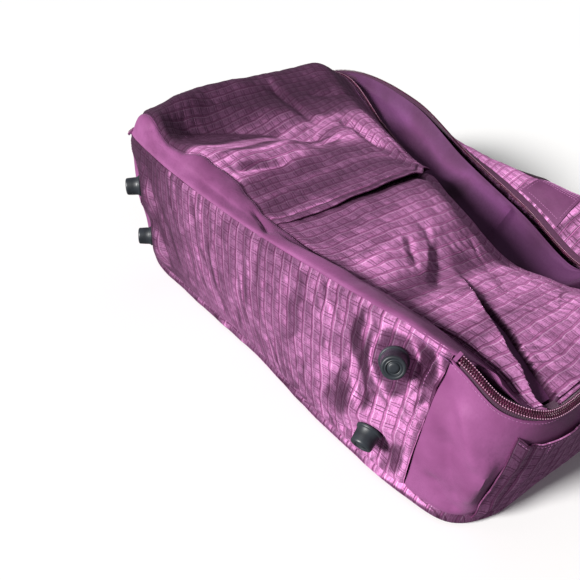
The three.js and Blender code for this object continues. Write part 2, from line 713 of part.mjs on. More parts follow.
function sliderBody() {
  const l = SLIDER.length / 2;
  const w = SLIDER.width / 2;
  const plate = slab([[-l, -w * 0.7], [-l * 0.2, -w * 0.8], [l * 0.7, -w], [l, -w * 0.6],
    [l, w * 0.6], [l * 0.7, w], [-l * 0.2, w * 0.8], [-l, w * 0.7]], 0, SLIDER.height);
  const { reach: r, height: h, thick: t, width } = BRIDGE;
  const arch = slab([[-r, 0], [-r + 1, h], [r - 1, h], [r, 0], [r - 1.6, 0], [r - 1.6 - 0.6, h - t],
    [-r + 1.6 + 0.6, h - t], [-r + 1.6, 0]].reverse(), -width / 2, width / 2);
  arch.rotateX(Math.PI / 2).translate(0, 0, SLIDER.height - 0.05);
  return join(plate, arch);
}

// Pull tab: a flat tongue whose cross bar passes under the slider's bridge.
function pullTab() {
  const { length, width, thick, lift, bar } = PULL;
  const w = width / 2;
  const eye = new THREE.Path([[PULL_EYE.from, -PULL_EYE.half], [PULL_EYE.from, PULL_EYE.half],
    [PULL_EYE.to, PULL_EYE.half], [PULL_EYE.to, -PULL_EYE.half]]
    .map((p) => new THREE.Vector2(...p)));
  const outline = [[-bar, -3.8], [9, -3.8], [length * 0.5, -w * 0.75], [length - 6, -w],
    [length - 2, -w * 0.6], [length - 2, w * 0.6], [length - 6, w], [length * 0.5, w * 0.75],
    [9, 3.8], [-bar, 3.8]];
  const low = SLIDER.height + lift;
  return slab(outline, low, low + thick, [eye]);
}

function sliders() {
  const made = [];
  for (const [end, station] of [['near', NEAR_SLIDER_STATION], ['far', FAR_SLIDER_STATION]]) {
    const frame = sliderFrame(station);
    const body = sliderBody().applyMatrix4(frame);
    const tab = welded(pullTab()).applyMatrix4(frame);
    made.push(meshOf(`${end}_slider`, outward(body), COIL_COLOUR, 0.4, 0.6));
    made.push(meshOf(`${end}_pull`, outward(tab), COIL_COLOUR, 0.4, 0.6));
  }
  return made;
}

// Stop crimped over the two halves of the coil where the zip begins and ends.
const STOP = { length: 3, width: 7.5, height: 2.4 };
function zipStop(name, station) {
  const frame = shifted(zipFrame(LID_RIM, station, true), 0, 0);
  const tangent = frame.side.clone().cross(frame.normal).normalize();
  const block = new THREE.BoxGeometry(STOP.length, STOP.width, STOP.height);
  block.translate(0, 0, STOP.height / 2);
  const turn = new THREE.Matrix4().makeBasis(tangent, frame.side, frame.normal);
  block.applyMatrix4(turn.setPosition(frame.point));
  return meshOf(name, outward(welded(block)), COIL_COLOUR, 0.45, 0.5);
}

// -------------------------------------------------------------------- handle

const ANCHOR = { gap: 0.7, thick: 1.4, low: 0.42, high: 0.985, columns: 5, rows: 8 };
function handleAnchor(name, from, to) {
  const surface = (u, v) => wallPoint(u, rimStop(u, BODY_TAPE) * v);
  const us = spread(RIM, from, to, ANCHOR.columns);
  const patch = sheet(surface, us, range(ANCHOR.low, ANCHOR.high, ANCHOR.rows),
    ANCHOR.gap + ANCHOR.thick, ANCHOR.gap);
  return meshOf(name, outward(patch), BAND_COLOUR);
}

// Webbing loop hanging behind the top gusset from its two anchors.
const WEBBING = { width: 24, thick: 2.5 };
const HANDLE_PATH = [[112, 222, 99.5], [100, 222.5, 101], [86, 223.5, 104], [73, 224, 103],
  [56, 225.5, 101.5], [38, 229, 98.5], [18, 234, 92], [-5, 238.5, 84], [-28, 239, 81],
  [-50, 235, 84], [-72, 227, 91], [-92, 218.5, 98], [-112, 212, 103]];
const HANDLE_STEPS = 26;
const WIDTH_WAY = new THREE.Vector3(0.02, 0.12, 0.99).normalize();
function carryHandle() {
  const path = curveThrough(HANDLE_PATH.map((p) => vector(p)), false);
  const frames = range(0, 1, HANDLE_STEPS).map((share) => {
    const point = path.getPoint(share);
    const tangent = path.getTangent(share);
    const way = WIDTH_WAY.clone().addScaledVector(tangent, -WIDTH_WAY.dot(tangent)).normalize();
    return { point, side: way, normal: tangent.clone().cross(way).normalize() };
  });
  return meshOf('carry_handle', outward(bar(frames, WEBBING.width, WEBBING.thick)), WEBBING_COLOUR);
}

// ------------------------------------------------------------------ assembly

bag.add(basePanel(), baseStiffener(), ...gussets());
bag.add(endPocket('near_end_pocket', 5.8, 9.4), endPocket('far_end_pocket', 15.7, 17.6));
const BACK = { inset: 3.2, liningInset: 13, liningLift: 2.8 };
bag.add(floorPlate('back_panel', BACK.inset, 0, BACK_THICK, BAND_COLOUR));
bag.add(floorPlate('back_lining', BACK.liningInset, BACK.liningLift,
  BACK.liningLift + LINING, LINING_COLOUR));
bag.add(wallLining(), baseLining());
for (const foot of FOOT_PLACES) bag.add(...footMeshes(foot));
bag.add(meshOf('gusset_coil', coil(RIM, false), COIL_COLOUR, 0.5));
bag.add(meshOf('gusset_tape', tape(false), TAPE_COLOUR));
bag.add(zipStop('near_zip_stop', BASE_END + 0.07), zipStop('far_zip_stop', COUNT - 0.075));
bag.add(handleAnchor('near_handle_anchor', 11.6, 12.15));
bag.add(handleAnchor('far_handle_anchor', 13.75, 14.1), carryHandle());
lidGroup.add(...lidPanels(), ...sliders());
lidGroup.add(meshOf('lid_coil', coil(LID_RIM, true), COIL_COLOUR, 0.5));
lidGroup.add(meshOf('lid_tape', tape(true), TAPE_COLOUR));

export default bag;
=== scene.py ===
"""Soft zip-around travel bag, lying on its back panel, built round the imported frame.

Lengths are in millimetres until a mesh is made, and the axes are the frame's own:
+X along the bag, +Y from the studded base to the handle, +Z up to the lid.
"""

import math

import bpy
import numpy as np
from mathutils import Matrix, Vector


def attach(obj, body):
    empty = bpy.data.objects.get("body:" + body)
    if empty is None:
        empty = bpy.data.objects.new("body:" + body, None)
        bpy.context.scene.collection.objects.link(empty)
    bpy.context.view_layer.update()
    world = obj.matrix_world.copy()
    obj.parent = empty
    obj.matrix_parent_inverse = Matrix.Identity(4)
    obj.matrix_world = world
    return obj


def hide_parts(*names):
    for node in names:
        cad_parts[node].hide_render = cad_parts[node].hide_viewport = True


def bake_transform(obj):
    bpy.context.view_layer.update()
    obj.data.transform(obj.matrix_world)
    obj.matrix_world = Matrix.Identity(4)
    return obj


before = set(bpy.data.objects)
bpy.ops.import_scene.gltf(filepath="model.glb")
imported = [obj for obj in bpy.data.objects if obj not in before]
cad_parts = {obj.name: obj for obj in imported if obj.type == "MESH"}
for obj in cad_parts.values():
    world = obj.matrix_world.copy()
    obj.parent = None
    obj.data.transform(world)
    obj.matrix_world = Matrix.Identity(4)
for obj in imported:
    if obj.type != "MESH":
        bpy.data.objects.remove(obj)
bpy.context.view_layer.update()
MM = 0.001

# ------------------------------------------------------------------ camera

LENS = 40.34
EYE = Vector((450.3, -491.1, 477.3)) * MM
EYE_RIGHT = Vector((0.6387, 0.7695, 0.0))
EYE_UP = Vector((-0.4500, 0.3737, 0.8110))


def make_camera():
    """The photo's camera, solved against the studs and the base's corners."""
    data = bpy.data.cameras.new("camera")
    data.lens = LENS
    data.sensor_width = 36.0
    camera = bpy.data.objects.new("camera", data)
    back = EYE_RIGHT.cross(EYE_UP)
    turn = Matrix((EYE_RIGHT, EYE_UP, back)).transposed().to_4x4()
    camera.matrix_world = Matrix.Translation(EYE) @ turn
    bpy.context.scene.collection.objects.link(camera)
    bpy.context.scene.camera = camera


make_camera()

# ------------------------------------------- the lines that the cloth follows

# Stations go round the bag, counter-clockwise seen from above, from the base's far
# seam: floor (x, y), belly (x, y, z) halfway up, rim (x, y, z), and the lid's own
# edge where it has left the rim.
STATIONS = [
    ((-215, -163), (-228, -172, 92), (-228, -170, 179)),
    ((-112, -170), (-118, -190, 92), (-118, -189, 181)),
    ((10, -174), (12, -193, 88), (13, -191, 174)),
    ((138, -188), (138, -198, 86), (138, -192, 178)),
    ((238, -190), (250, -194, 92), (262, -188, 179)),
    ((281, -180), (298, -187, 84), (301, -177, 154)),
    ((299, -150), (316, -154, 78), (322, -152, 143)),
    ((304, -92), (325, -96, 74), (325, -104, 138)),
    ((306, -15), (328, -18, 70), (315, -15, 128)),
    ((304, 72), (322, 72, 68), (304, 74, 118)),
    ((278, 158), (290, 172, 72), (262, 130, 88), (262, 117, 80)),
    ((205, 186), (206, 212, 106), (190, 146, 72), (190, 106, 60)),
    ((105, 190), (108, 216, 111), (98, 170, 97), (100, 109, 62)),
    ((0, 190), (0, 212, 104), (0, 177, 131), (-7, 134, 92)),
    ((-110, 188), (-112, 206, 96), (-106, 189, 172), (-106, 139, 143)),
    ((-228, 170), (-240, 184, 92), (-240, 186, 181), (-242, 176, 178)),
    ((-274, 110), (-286, 112, 92), (-291, 112, 162)),
    ((-276, -60), (-288, -64, 92), (-292, -62, 158)),
    ((-254, -136), (-268, -147, 92), (-270, -139, 166)),
]
COUNT = len(STATIONS)
BASE_END = 4.0
NEAR_TOP = 10.0
FAR_TOP = 15.0
WALL_START = 1.5
LID_CENTRE = np.array([20.0, -30.0, 165.0])
LID_TAPE_CLOSED = 12.0
LID_TAPE_OPEN = 5.0
BODY_TAPE = 7.0
PER_STATION = 100              # steps of each curve's table to a station

FEET = {
    "foot_far_front": (0.07, 0.70, (-0.54, -0.84, -0.01)),
    "foot_far_back": (0.07, 0.32, (-0.56, -0.83, 0.05)),
    "foot_near_front": (0.915, 0.80, (0.60, -0.72, 0.35)),
    "foot_near_back": (0.90, 0.32, (0.22, -0.88, -0.42)),
}
FOOT_FLAT = 20.0
FOOT_BLEND = 46.0


def unit(a):
    return a / np.maximum(np.linalg.norm(a, axis=-1, keepdims=True), 1e-9)


def smooth(t):
    t = np.clip(t, 0.0, 1.0)
    return t * t * (3 - 2 * t)


def mix(a, b, t):
    return a + (b - a) * t


def eased(pairs, place):
    """Value of a list of (place, value) pairs, eased between neighbours."""
    x = np.array([p[0] for p in pairs], float)
    y = np.array([p[1] for p in pairs], float)
    place = np.clip(place, x[0], x[-1])
    i = np.clip(np.searchsorted(x, place) - 1, 0, len(x) - 2)
    return mix(y[i], y[i + 1], smooth((place - x[i]) / (x[i + 1] - x[i])))


def segment(p, t):
    """Centripetal Catmull-Rom between p[1] and p[2]."""
    d0, d1, d2 = (max(np.linalg.norm(p[k + 1] - p[k]) ** 0.5, 1e-4) for k in range(3))
    a = ((p[1] - p[0]) / d0 - (p[2] - p[0]) / (d0 + d1) + (p[2] - p[1]) / d1) * d1
    b = ((p[2] - p[1]) / d1 - (p[3] - p[1]) / (d1 + d2) + (p[3] - p[2]) / d2) * d1
    t = t[:, None]
    c2 = -3 * p[1] + 3 * p[2] - 2 * a - b
    c3 = 2 * p[1] - 2 * p[2] + a + b
    return p[1] + a * t + c2 * t * t + c3 * t * t * t


def loop_table(points):
    """Fine table of a closed curve, with PER_STATION steps to a station."""
    pts = [np.array(p, float) for p in points]
    n = len(pts)
    t = np.arange(PER_STATION) / PER_STATION
    parts = [segment([pts[(i + k) % n] for k in (-1, 0, 1, 2)], t) for i in range(n)]
    return np.vstack(parts + [pts[:1]])


def open_curve(points, steps):
    """Even points of a smooth open curve through the given ones."""
    pts = [np.array(p, float) for p in points]
    pts = [2 * pts[0] - pts[1]] + pts + [2 * pts[-1] - pts[-2]]
    t = np.arange(24) / 24
    parts = [segment(pts[i:i + 4], t) for i in range(len(pts) - 3)]
    fine = np.vstack(parts + [pts[-2][None]])
    return resample(fine, steps)


def resample(line, steps):
    """Evenly spaced points along a line."""
    length = np.concatenate([[0], np.cumsum(np.linalg.norm(np.diff(line, axis=0), axis=1))])
    wanted = np.linspace(0, length[-1], steps + 1)
    return np.stack([np.interp(wanted, length, line[:, k]) for k in range(3)], 1)


FLOOR = loop_table([(*s[0], WALL_START) for s in STATIONS])
BELLY = loop_table([s[1] for s in STATIONS])
RIM = loop_table([s[2] for s in STATIONS])
LID_RIM = loop_table([s[-1] for s in STATIONS])


def at(table, station):
    """Point of a closed curve's table at a station."""
    place = (np.asarray(station, float) % COUNT) * PER_STATION
    i = np.clip(place.astype(int), 0, len(table) - 2)
    return mix(table[i], table[i + 1], (place - i)[..., None])


def spread(table, start, end, steps):
    """Places between two stations, evenly spread along the curve."""
    fine = np.linspace(start, end, 1200)
    step = np.linalg.norm(np.diff(at(table, fine), axis=0), axis=1)
    length = np.concatenate([[0], np.cumsum(step)])
    return np.interp(np.linspace(0, length[-1], steps + 1), length, fine)


def wall(station, up):
    """A smooth section through floor, belly and rim at each station."""
    station, up = np.broadcast_arrays(np.asarray(station, float), np.asarray(up, float))
    u = up[..., None]
    low = at(FLOOR, station) * (1 - u) * (1 - 2 * u)
    middle = at(BELLY, station) * 4 * u * (1 - u)
    return low + middle + at(RIM, station) * u * (2 * u - 1)


BASE_STATIONS = spread(RIM, 0, BASE_END, 60)
FOOT_CENTRES = {
    name: wall(np.interp(f[0] * 60, np.arange(61), BASE_STATIONS), f[1])
    for name, f in FEET.items()
}
FOOT_AXES = {name: unit(np.array(f[2])) for name, f in FEET.items()}


def base(share, up):
    """The base panel: the wall, pulled flat and square to each stud round its foot."""
    station = np.interp(np.clip(share, 0, 1) * 60, np.arange(61), BASE_STATIONS)
    point = wall(station, up)
    for name in FEET:
        away = point - FOOT_CENTRES[name]
        height = (away @ FOOT_AXES[name])[..., None]
        far = np.linalg.norm(away, axis=-1)
        pull = 1 - smooth((far - FOOT_FLAT) / (FOOT_BLEND - FOOT_FLAT))
        pull = pull * smooth((1 - np.asarray(up, float)) / 0.1)
        point = point - FOOT_AXES[name] * height * pull[..., None]
    return point


def inward(table, station):
    """Direction from a closed curve towards the lid's middle, square to the curve."""
    here = at(table, station)
    tangent = unit(at(table, station + 0.02) - at(table, station - 0.02))
    aim = LID_CENTRE - here
    return unit(aim - tangent * np.sum(aim * tangent, -1, keepdims=True))


def lid_tape_width(station):
    """Width of the zip's tape between the lid's rim and its cloth."""
    station = np.asarray(station, float)
    edge = np.minimum(smooth((station - BASE_END) / 0.5), smooth((COUNT - station) / 0.5))
    opened = smooth((station - 9.2) / 0.8) * smooth((15.6 - station) / 0.8)
    closed = mix(LID_TAPE_CLOSED, LID_TAPE_OPEN, smooth((station - 5.2) / 0.6))
    return edge * mix(closed, LID_TAPE_OPEN, opened)


def lid_edge(station):
    """Edge of the lid's cloth."""
    width = lid_tape_width(station)[..., None]
    return at(LID_RIM, station) + inward(LID_RIM, station) * width


BAND_SHARE = [(0, 0.125), (0.1, 0.125), (0.2, 0.104), (0.26, 0.114), (0.32, 0.165),
              (0.39, 0.198), (0.455, 0.17), (0.51, 0.142), (0.6, 0.146), (0.67, 0.156),
              (0.72, 0.17), (0.8, 0.222), (0.855, 0.24), (0.92, 0.226), (1, 0.205)]
POCKET_MOUTH = [(0, 0.535), (0.24, 0.534), (0.37, 0.548), (0.52, 0.561), (0.61, 0.561),
                (0.7, 0.548), (0.85, 0.49), (1, 0.43)]
POCKET_END = 0.994
LIP_SAG = [(0.36, 0), (0.5, 9), (0.6, 17), (0.7, 15), (0.84, 12), (0.92, 16), (1, 0)]
LID_DROP = [(0, 1.5), (0.3, 3), (0.57, 4.2), (0.78, 1.4), (1, 1.2)]
LID_CROWN = 7.0
FAR_CROWN = 34.0
FAR_SPREAD = 0.022
CROWN_SPREAD = 0.05
SIDE_STEPS = 400


def lid_side(start, end):
    """Edge of the lid cloth between two stations, evenly spaced along the zip."""
    stations = spread(LID_RIM, start, end, 80)
    fine = np.interp(np.linspace(0, 80, SIDE_STEPS + 1), np.arange(81), stations)
    return lid_edge(np.where(fine >= COUNT, COUNT - 1e-9, fine)), fine


LID_BASE, _ = lid_side(0, BASE_END)
LID_LIP, LIP_STATIONS = lid_side(FAR_TOP, NEAR_TOP)
LID_FAR, FAR_STATIONS = lid_side(COUNT, FAR_TOP)
LID_NEAR, NEAR_STATIONS = lid_side(BASE_END, NEAR_TOP)


def along(table, share):
    """Point of an edge of the lid at a share of its length."""
    place = np.clip(share, 0, 1) * SIDE_STEPS
    i = np.clip(place.astype(int), 0, SIDE_STEPS - 1)
    return mix(table[i], table[i + 1], (place - i)[..., None])


def lid(across, out):
    """The lid cloth: a patch between its four edges, dropping to the open lip."""
    across, out = np.broadcast_arrays(np.asarray(across, float), np.asarray(out, float))
    a, o = across[..., None], out[..., None]
    foot, lip = along(LID_BASE, across), along(LID_LIP, across)
    point = foot * (1 - o) + lip * o
    point = point + along(LID_FAR, out) * (1 - a) + along(LID_NEAR, out) * a
    point = point - LID_BASE[0] * (1 - a) * (1 - o) - LID_BASE[-1] * a * (1 - o)
    point = point - LID_LIP[0] * (1 - a) * o - LID_LIP[-1] * a * o
    inside = smooth(across / 0.12) * smooth((1 - across) / 0.12)
    drop = np.maximum(out, 1e-6) ** eased(LID_DROP, across) - out
    crown = LID_CROWN * (1 - np.exp(-out / CROWN_SPREAD)) * (1 - out)
    middle = smooth(out / 0.15) * smooth((1 - out) / 0.15)
    far = FAR_CROWN * (1 - np.exp(-across / FAR_SPREAD)) * (1 - across) ** 2
    sag = eased(LIP_SAG, across) * np.exp(-((out - 0.83) / 0.11) ** 2) * smooth((1 - out) / 0.08)
    point[..., 2] += inside * ((lip[..., 2] - foot[..., 2]) * drop + crown) + middle * far - sag
    return point


# ----------------------------------------------------------------- cloth folds

def grid_normals(grid, closed=False):
    """Unit normals of a grid, whose rows go all the way round where closed is true."""
    du = np.roll(grid, -1, 0) - np.roll(grid, 1, 0) if closed else np.gradient(grid, axis=0)
    return unit(np.cross(du, np.gradient(grid, axis=1)))


def raised(grid, height, closed=False):
    """The grid with each point moved along its normal."""
    return grid + grid_normals(grid, closed) * height[..., None]


def value_noise(x, y, seed):
    """Smooth noise from -1 to 1 with one random value per unit cell."""
    table = np.random.default_rng(seed).uniform(-1, 1, (256, 256))
    i, j = np.floor(x).astype(int), np.floor(y).astype(int)
    u, v = smooth(x - i), smooth(y - j)
    i, j, k, m = i % 256, j % 256, (i + 1) % 256, (j + 1) % 256
    return mix(mix(table[i, j], table[k, j], u), mix(table[i, m], table[k, m], u), v)


def near_line(points, line, normals):
    """Distance to a line, signed by the side of it, and the share along it."""
    flat = points.reshape(-1, 3)
    best = np.full(len(flat), 1e9)
    side = np.ones(len(flat))
    share = np.zeros(len(flat))
    steps = len(line) - 1
    face = normals.reshape(-1, 3)
    for k in range(steps):
        a, b = line[k], line[k + 1]
        ab = b - a
        t = np.clip(((flat - a) @ ab) / (ab @ ab), 0, 1)
        gap = flat - a - t[:, None] * ab
        d = np.linalg.norm(gap, axis=1)
        closer = d < best
        best = np.where(closer, d, best)
        way = np.sign(np.sum(np.cross(ab, gap) * face, 1))
        side = np.where(closer, way, side)
        share = np.where(closer, (k + t) / steps, share)
    shape = points.shape[:-1]
    return (best * side).reshape(shape), share.reshape(shape)


def fold(points, depth, right, left, ends=0.25, soft=0.8, power=1.5):
    """A crease along a line: depth below the cloth, fading over each side's width."""
    return {"line": points, "depth": depth, "right": right, "left": left,
            "ends": ends, "soft": soft, "power": power}


def folded(grid, folds):
    """How far each point of a cloth moves along its normal for its folds."""
    normals = grid_normals(grid)
    height = np.zeros(grid.shape[:-1])
    for f in folds:
        line = open_curve(f["line"], 24)
        signed, share = near_line(grid, line, normals)
        width = np.where(signed > 0, f["left"], f["right"])
        d = np.sqrt(signed ** 2 + f["soft"] ** 2) - f["soft"]
        shape = np.maximum(1 - d / width, 0) ** f["power"]
        fade = smooth(share / f["ends"]) * smooth((1 - share) / f["ends"])
        height += -f["depth"] * shape * fade
    return height


VALLEY = [(-200, -148, 190), (-182, -120, 190), (-174, -90, 188), (-158, -58, 185),
          (-134, -26, 181), (-108, 4, 177), (-84, 34, 171)]
LID_FOLDS = [
    # the valley behind the band at the far end, and the creases that run out of it
    fold(VALLEY, 15, 60, 46, ends=0.16, power=1.3),
    fold([(-156, -164, 190), (-128, -156, 190), (-98, -144, 188), (-80, -112, 184),
          (-76, -74, 182), (-86, -34, 178), (-88, 0, 174)], -12, 44, 40, ends=0.3, power=1.2),
    fold([(-250, 40, 190), (-228, 38, 188), (-196, 34, 185), (-162, 31, 181),
          (-134, 30, 177), (-106, 42, 171)], 6, 16, 10, ends=0.3),
    fold([(-132, -42, 181), (-114, -24, 178), (-96, -8, 174), (-84, 14, 170),
          (-70, 46, 164)], 5, 15, 9, ends=0.35),
    fold([(-120, 46, 173), (-112, 64, 171), (-98, 72, 168), (-76, 70, 165),
          (-56, 72, 160), (-44, 92, 151)], 7, 24, 9, ends=0.25),
    fold([(-76, -150, 181), (-62, -130, 179), (-54, -100, 176), (-48, -68, 175)],
         5, 16, 8, ends=0.3),
    # darts and the wedge beside the long fold
    fold([(116, -70, 166), (134, -84, 162), (148, -94, 158), (158, -98, 156)],
         2.4, 9, 3.5, ends=0.3, soft=0.4),
    fold([(100, -28, 163), (121, -47, 159), (138, -62, 155)], 1.8, 12, 5, ends=0.4),
    fold([(126, -44, 152), (146, -62, 149), (168, -86, 149), (186, -112, 152)],
         5.5, 10, 18, ends=0.35, power=1.2),
    # the crease beside the lip
    fold([(126, 14, 140), (145, 4, 134), (166, -5, 130), (195, -25, 133),
          (222, -48, 138)], 2.4, 9, 4, ends=0.25, soft=0.4),
    fold([(60, 60, 130), (100, 42, 128), (150, 38, 110), (210, 40, 95)], 3, 26, 20),
    fold([(225, 60, 95), (238, 10, 112), (262, -40, 128)], 4, 24, 18),
    fold([(-190, 60, 186), (-172, 100, 178), (-160, 140, 168)], 4, 18, 14),
]
FAR_CREST = [(-170, 0), (-146, 5), (-100, 15), (-40, 15), (40, 11), (110, 6), (160, 0)]
LONG_FOLD = [(166, -50, 143), (175, -58, 143), (222, -87, 147), (258, -110, 150),
             (285, -124, 148), (312, -138, 141)]
LONG_FOLD_DEPTH = 11.0
BAND_FOLDS = [
    fold([(2, -166, 176), (14, -171, 176), (33, -177, 176), (54, -186, 175)], 4.5, 5, 9,
         ends=0.3, soft=0.4),
    fold([(270, -165, 160), (284, -158, 154), (300, -150, 147)], 3.0, 7, 5, ends=0.3),
    fold([(-196, -168, 190), (-186, -158, 193), (-182, -146, 193)], 2.5, 9, 9, ends=0.3),
    fold([(120, -180, 183), (150, -178, 184), (180, -176, 184)], 1.2, 9, 9, ends=0.3),
]
BASE_FOLDS = [
    fold([(190, -193, 176), (197, -202, 150), (184, -199, 110), (200, -204, 80)],
         4.5, 11, 9, ends=0.2),
    fold([(236, -199, 140), (226, -203, 112), (232, -203, 84)], 2.5, 10, 12),
    fold([(172, -200, 120), (150, -200, 80), (140, -196, 44)], 2.5, 18, 14),
    fold([(205, -204, 36), (214, -200, 14), (216, -195, 4)], 3, 8, 8),
    fold([(110, -197, 168), (92, -200, 130), (98, -200, 96)], 1.8, 16, 16),
    fold([(-188, -183, 165), (-182, -188, 140), (-176, -188, 100)], 2, 12, 16),
    fold([(-150, -187, 150), (-132, -192, 95), (-124, -186, 40)], 2.4, 16, 16),
    fold([(-60, -192, 120), (-38, -194, 70), (-30, -186, 22)], 2.2, 18, 14),
]
WALL_FOLDS = [
    # soft dents of the plain near corner
    fold([(276, -190, 150), (288, -190, 120), (300, -186, 86)], -4.5, 9, 16),
    fold([(270, -193, 118), (279, -190, 70), (290, -184, 24)], 5.2, 14, 14),
    fold([(303, -180, 110), (301, -184, 64), (296, -183, 30)], -4.6, 12, 9),
    fold([(262, -192, 60), (276, -189, 34), (296, -180, 16)], 4.2, 10, 14),
    fold([(312, -164, 96), (309, -168, 60), (303, -168, 22)], 4.0, 10, 12),
    # end, handle side and far end
    fold([(322, -120, 128), (328, -80, 104), (326, -40, 84)], 3.5, 14, 16),
    fold([(318, 20, 118), (328, 10, 80), (324, 0, 34)], 4, 22, 18),
    fold([(310, 90, 96), (312, 120, 64), (300, 140, 26)], 4, 18, 18),
    fold([(240, 190, 96), (236, 204, 62), (228, 194, 22)], 4, 20, 18),
    fold([(160, 190, 108), (158, 216, 92), (150, 212, 40)], 4, 22, 20),
    fold([(60, 186, 112), (52, 212, 84), (46, 206, 34)], 4.5, 24, 20),
    fold([(-30, 196, 122), (-40, 212, 80), (-46, 204, 30)], 4, 22, 20),
    fold([(-150, 194, 160), (-158, 202, 100), (-164, 190, 36)], 4, 24, 20),
    fold([(-236, 184, 150), (-262, 160, 104), (-270, 134, 40)], 4, 20, 20),
    fold([(-288, 70, 150), (-288, 40, 96), (-282, 30, 30)], 5, 26, 22),
    fold([(-290, -30, 148), (-288, -58, 92), (-280, -60, 26)], 4, 24, 22),
    fold([(-262, -150, 150), (-266, -150, 90), (-256, -142, 30)], 3, 14, 14),
]


def long_fold(grid):
    """The deep slot of the long fold, thin at its top and square at its low end, with the shade
    painted in it.
    """
    normals = grid_normals(grid)
    signed, share = near_line(grid, open_curve(LONG_FOLD, 30), normals)
    half = mix(2.0, 7.6, smooth(share / 0.75))
    inside = 1 - smooth((np.abs(signed) - half + 2.4) / 4.8)
    depth = LONG_FOLD_DEPTH * smooth(share / 0.12) * inside
    # the cloth swells towards the slot on the band's side and lies lower beyond it
    swell = 6.5 * smooth(share / 0.3) * smooth((1.02 - share) / 0.2)
    bank = np.where(signed < 0, np.exp(signed / 26.0), -0.35 * np.exp(-signed / 18.0))
    # the second value is the shade painted in the slot
    return -depth + swell * bank * (1 - inside), inside * smooth(share / 0.12)


def ripples(x, y, seed, wave, stretch, size):
    """Ridged crinkles across x, drawn out along y."""
    warp = value_noise(x / (wave * 5), y / (wave * stretch * 1.7), seed + 1) * wave * 1.6
    ridge = value_noise((x + warp) / wave, y / (wave * stretch), seed)
    patches = smooth(value_noise(x / (wave * 7), y / (wave * 9), seed + 2) * 0.9 + 0.6)
    return size * (1 - 2 * np.abs(ridge)) * (0.35 + 0.65 * patches)


# ------------------------------------------------------------ mesh construction

def distances(grid, axis):
    """Mean distance walked along one axis of a grid, as one value per row."""
    step = np.linalg.norm(np.diff(grid, axis=axis), axis=-1)
    mean = step.mean(axis=1 - axis)
    return np.concatenate([[0], np.cumsum(mean)])


def cloth_map(grid):
    """Cloth coordinates of a grid in millimetres, one pair for each point."""
    place = np.meshgrid(distances(grid, 0), distances(grid, 1), indexing="ij")
    return np.stack(place, -1).reshape(-1, 2)


# strength of the shade painted on satin where it turns from the light
PAINTED_SHADE_STRENGTH = 0.5              # how dark satin gets where it turns from the light


def painted_satin_shade(grid):
    """Painted shade: darker where satin faces the bag's far end, and over the whole far end."""
    turned = smooth(-grid_normals(grid)[..., 0] / 0.3)
    return PAINTED_SHADE_STRENGTH * np.maximum(turned, smooth((-60 - grid[..., 0]) / 120))


def mesh_object(name, verts, faces, uvs=None, shade=None, material=None, sharp=38):
    """A mesh from points in millimetres, with its cloth coordinates and shade."""
    mesh = bpy.data.meshes.new(name)
    mesh.from_pydata((np.asarray(verts) * MM).tolist(), [], faces)
    if uvs is not None:
        layer = mesh.uv_layers.new(name="cloth")
        loops = np.zeros(len(mesh.loops), int)
        mesh.loops.foreach_get("vertex_index", loops)
        layer.data.foreach_set("uv", (np.asarray(uvs)[loops] * MM).ravel())
    if shade is not None:
        layer = mesh.attributes.new("shade", "FLOAT", "POINT")
        layer.data.foreach_set("value", np.asarray(shade, np.float32).ravel())
    mesh.validate()
    mesh.update()
    mesh.polygons.foreach_set("use_smooth", [True] * len(mesh.polygons))
    mesh.set_sharp_from_angle(angle=math.radians(sharp))
    if material:
        mesh.materials.append(material)
    piece = bpy.data.objects.new(name, mesh)
    bpy.context.scene.collection.objects.link(piece)
    return piece


def shell(name, grid, thick, material, shade=None):
    """A closed sheet of cloth: grid is its outer face, thick is its thickness."""
    rows, columns = grid.shape[:2]
    inner = grid - grid_normals(grid) * thick
    verts = np.concatenate([grid.reshape(-1, 3), inner.reshape(-1, 3)])
    low = rows * columns
    ids = np.arange(low).reshape(rows, columns)
    a, b, c, d = ids[:-1, :-1], ids[1:, :-1], ids[1:, 1:], ids[:-1, 1:]
    top = np.stack([a, b, c, d], -1).reshape(-1, 4)
    bottom = np.stack([a, d, c, b], -1).reshape(-1, 4) + low
    edges = [(ids[1:, 0], ids[:-1, 0]), (ids[:-1, -1], ids[1:, -1]),
             (ids[0, :-1], ids[0, 1:]), (ids[-1, 1:], ids[-1, :-1])]
    rims = [np.stack([p, q, q + low, p + low], -1).reshape(-1, 4) for p, q in edges]
    faces = np.concatenate([top, bottom] + rims).tolist()
    # jacquard pieces get painted satin shade in their shade attribute
    if material is JACQUARD:
        turned = painted_satin_shade(grid)
        shade = turned if shade is None else np.maximum(shade, turned)
    if shade is not None:
        shade = np.tile(shade.ravel(), 2)
    return mesh_object(name, verts, faces, np.tile(cloth_map(grid), (2, 1)), shade, material)


def join_parts(parts):
    """One vertex list and face list from several (verts, faces)."""
    verts, faces, base_index = [], [], 0
    for v, f in parts:
        verts.append(v)
        faces.append(np.asarray(f) + base_index)
        base_index += len(v)
    return np.vstack(verts), np.vstack(faces).tolist()


BEAD_SIDES = 6
BEAD_RINGS = 5


def bead_shape():
    """A round-ended bead along X: unit length, unit radius, quads throughout."""
    verts, faces = [], []
    sides, rings = BEAD_SIDES, BEAD_RINGS
    places = np.linspace(-0.5, 0.5, rings)
    for p in places:
        r = max(0.12, 1 - (abs(p) * 2) ** 3.2)
        for k in range(sides):
            turn = 2 * math.pi * k / sides
            verts.append((p, r * math.cos(turn), r * math.sin(turn)))
    for i in range(rings - 1):
        for k in range(sides):
            m = (k + 1) % sides
            faces.append((i * sides + k, i * sides + m, (i + 1) * sides + m, (i + 1) * sides + k))
    for end in (0, rings - 1):
        corners = [end * sides + k for k in range(sides)]
        order = corners if end else corners[::-1]
        for k in range(1, sides - 2, 2):
            faces.append((order[0], order[k], order[k + 1], order[k + 2]))
    return np.array(verts), faces


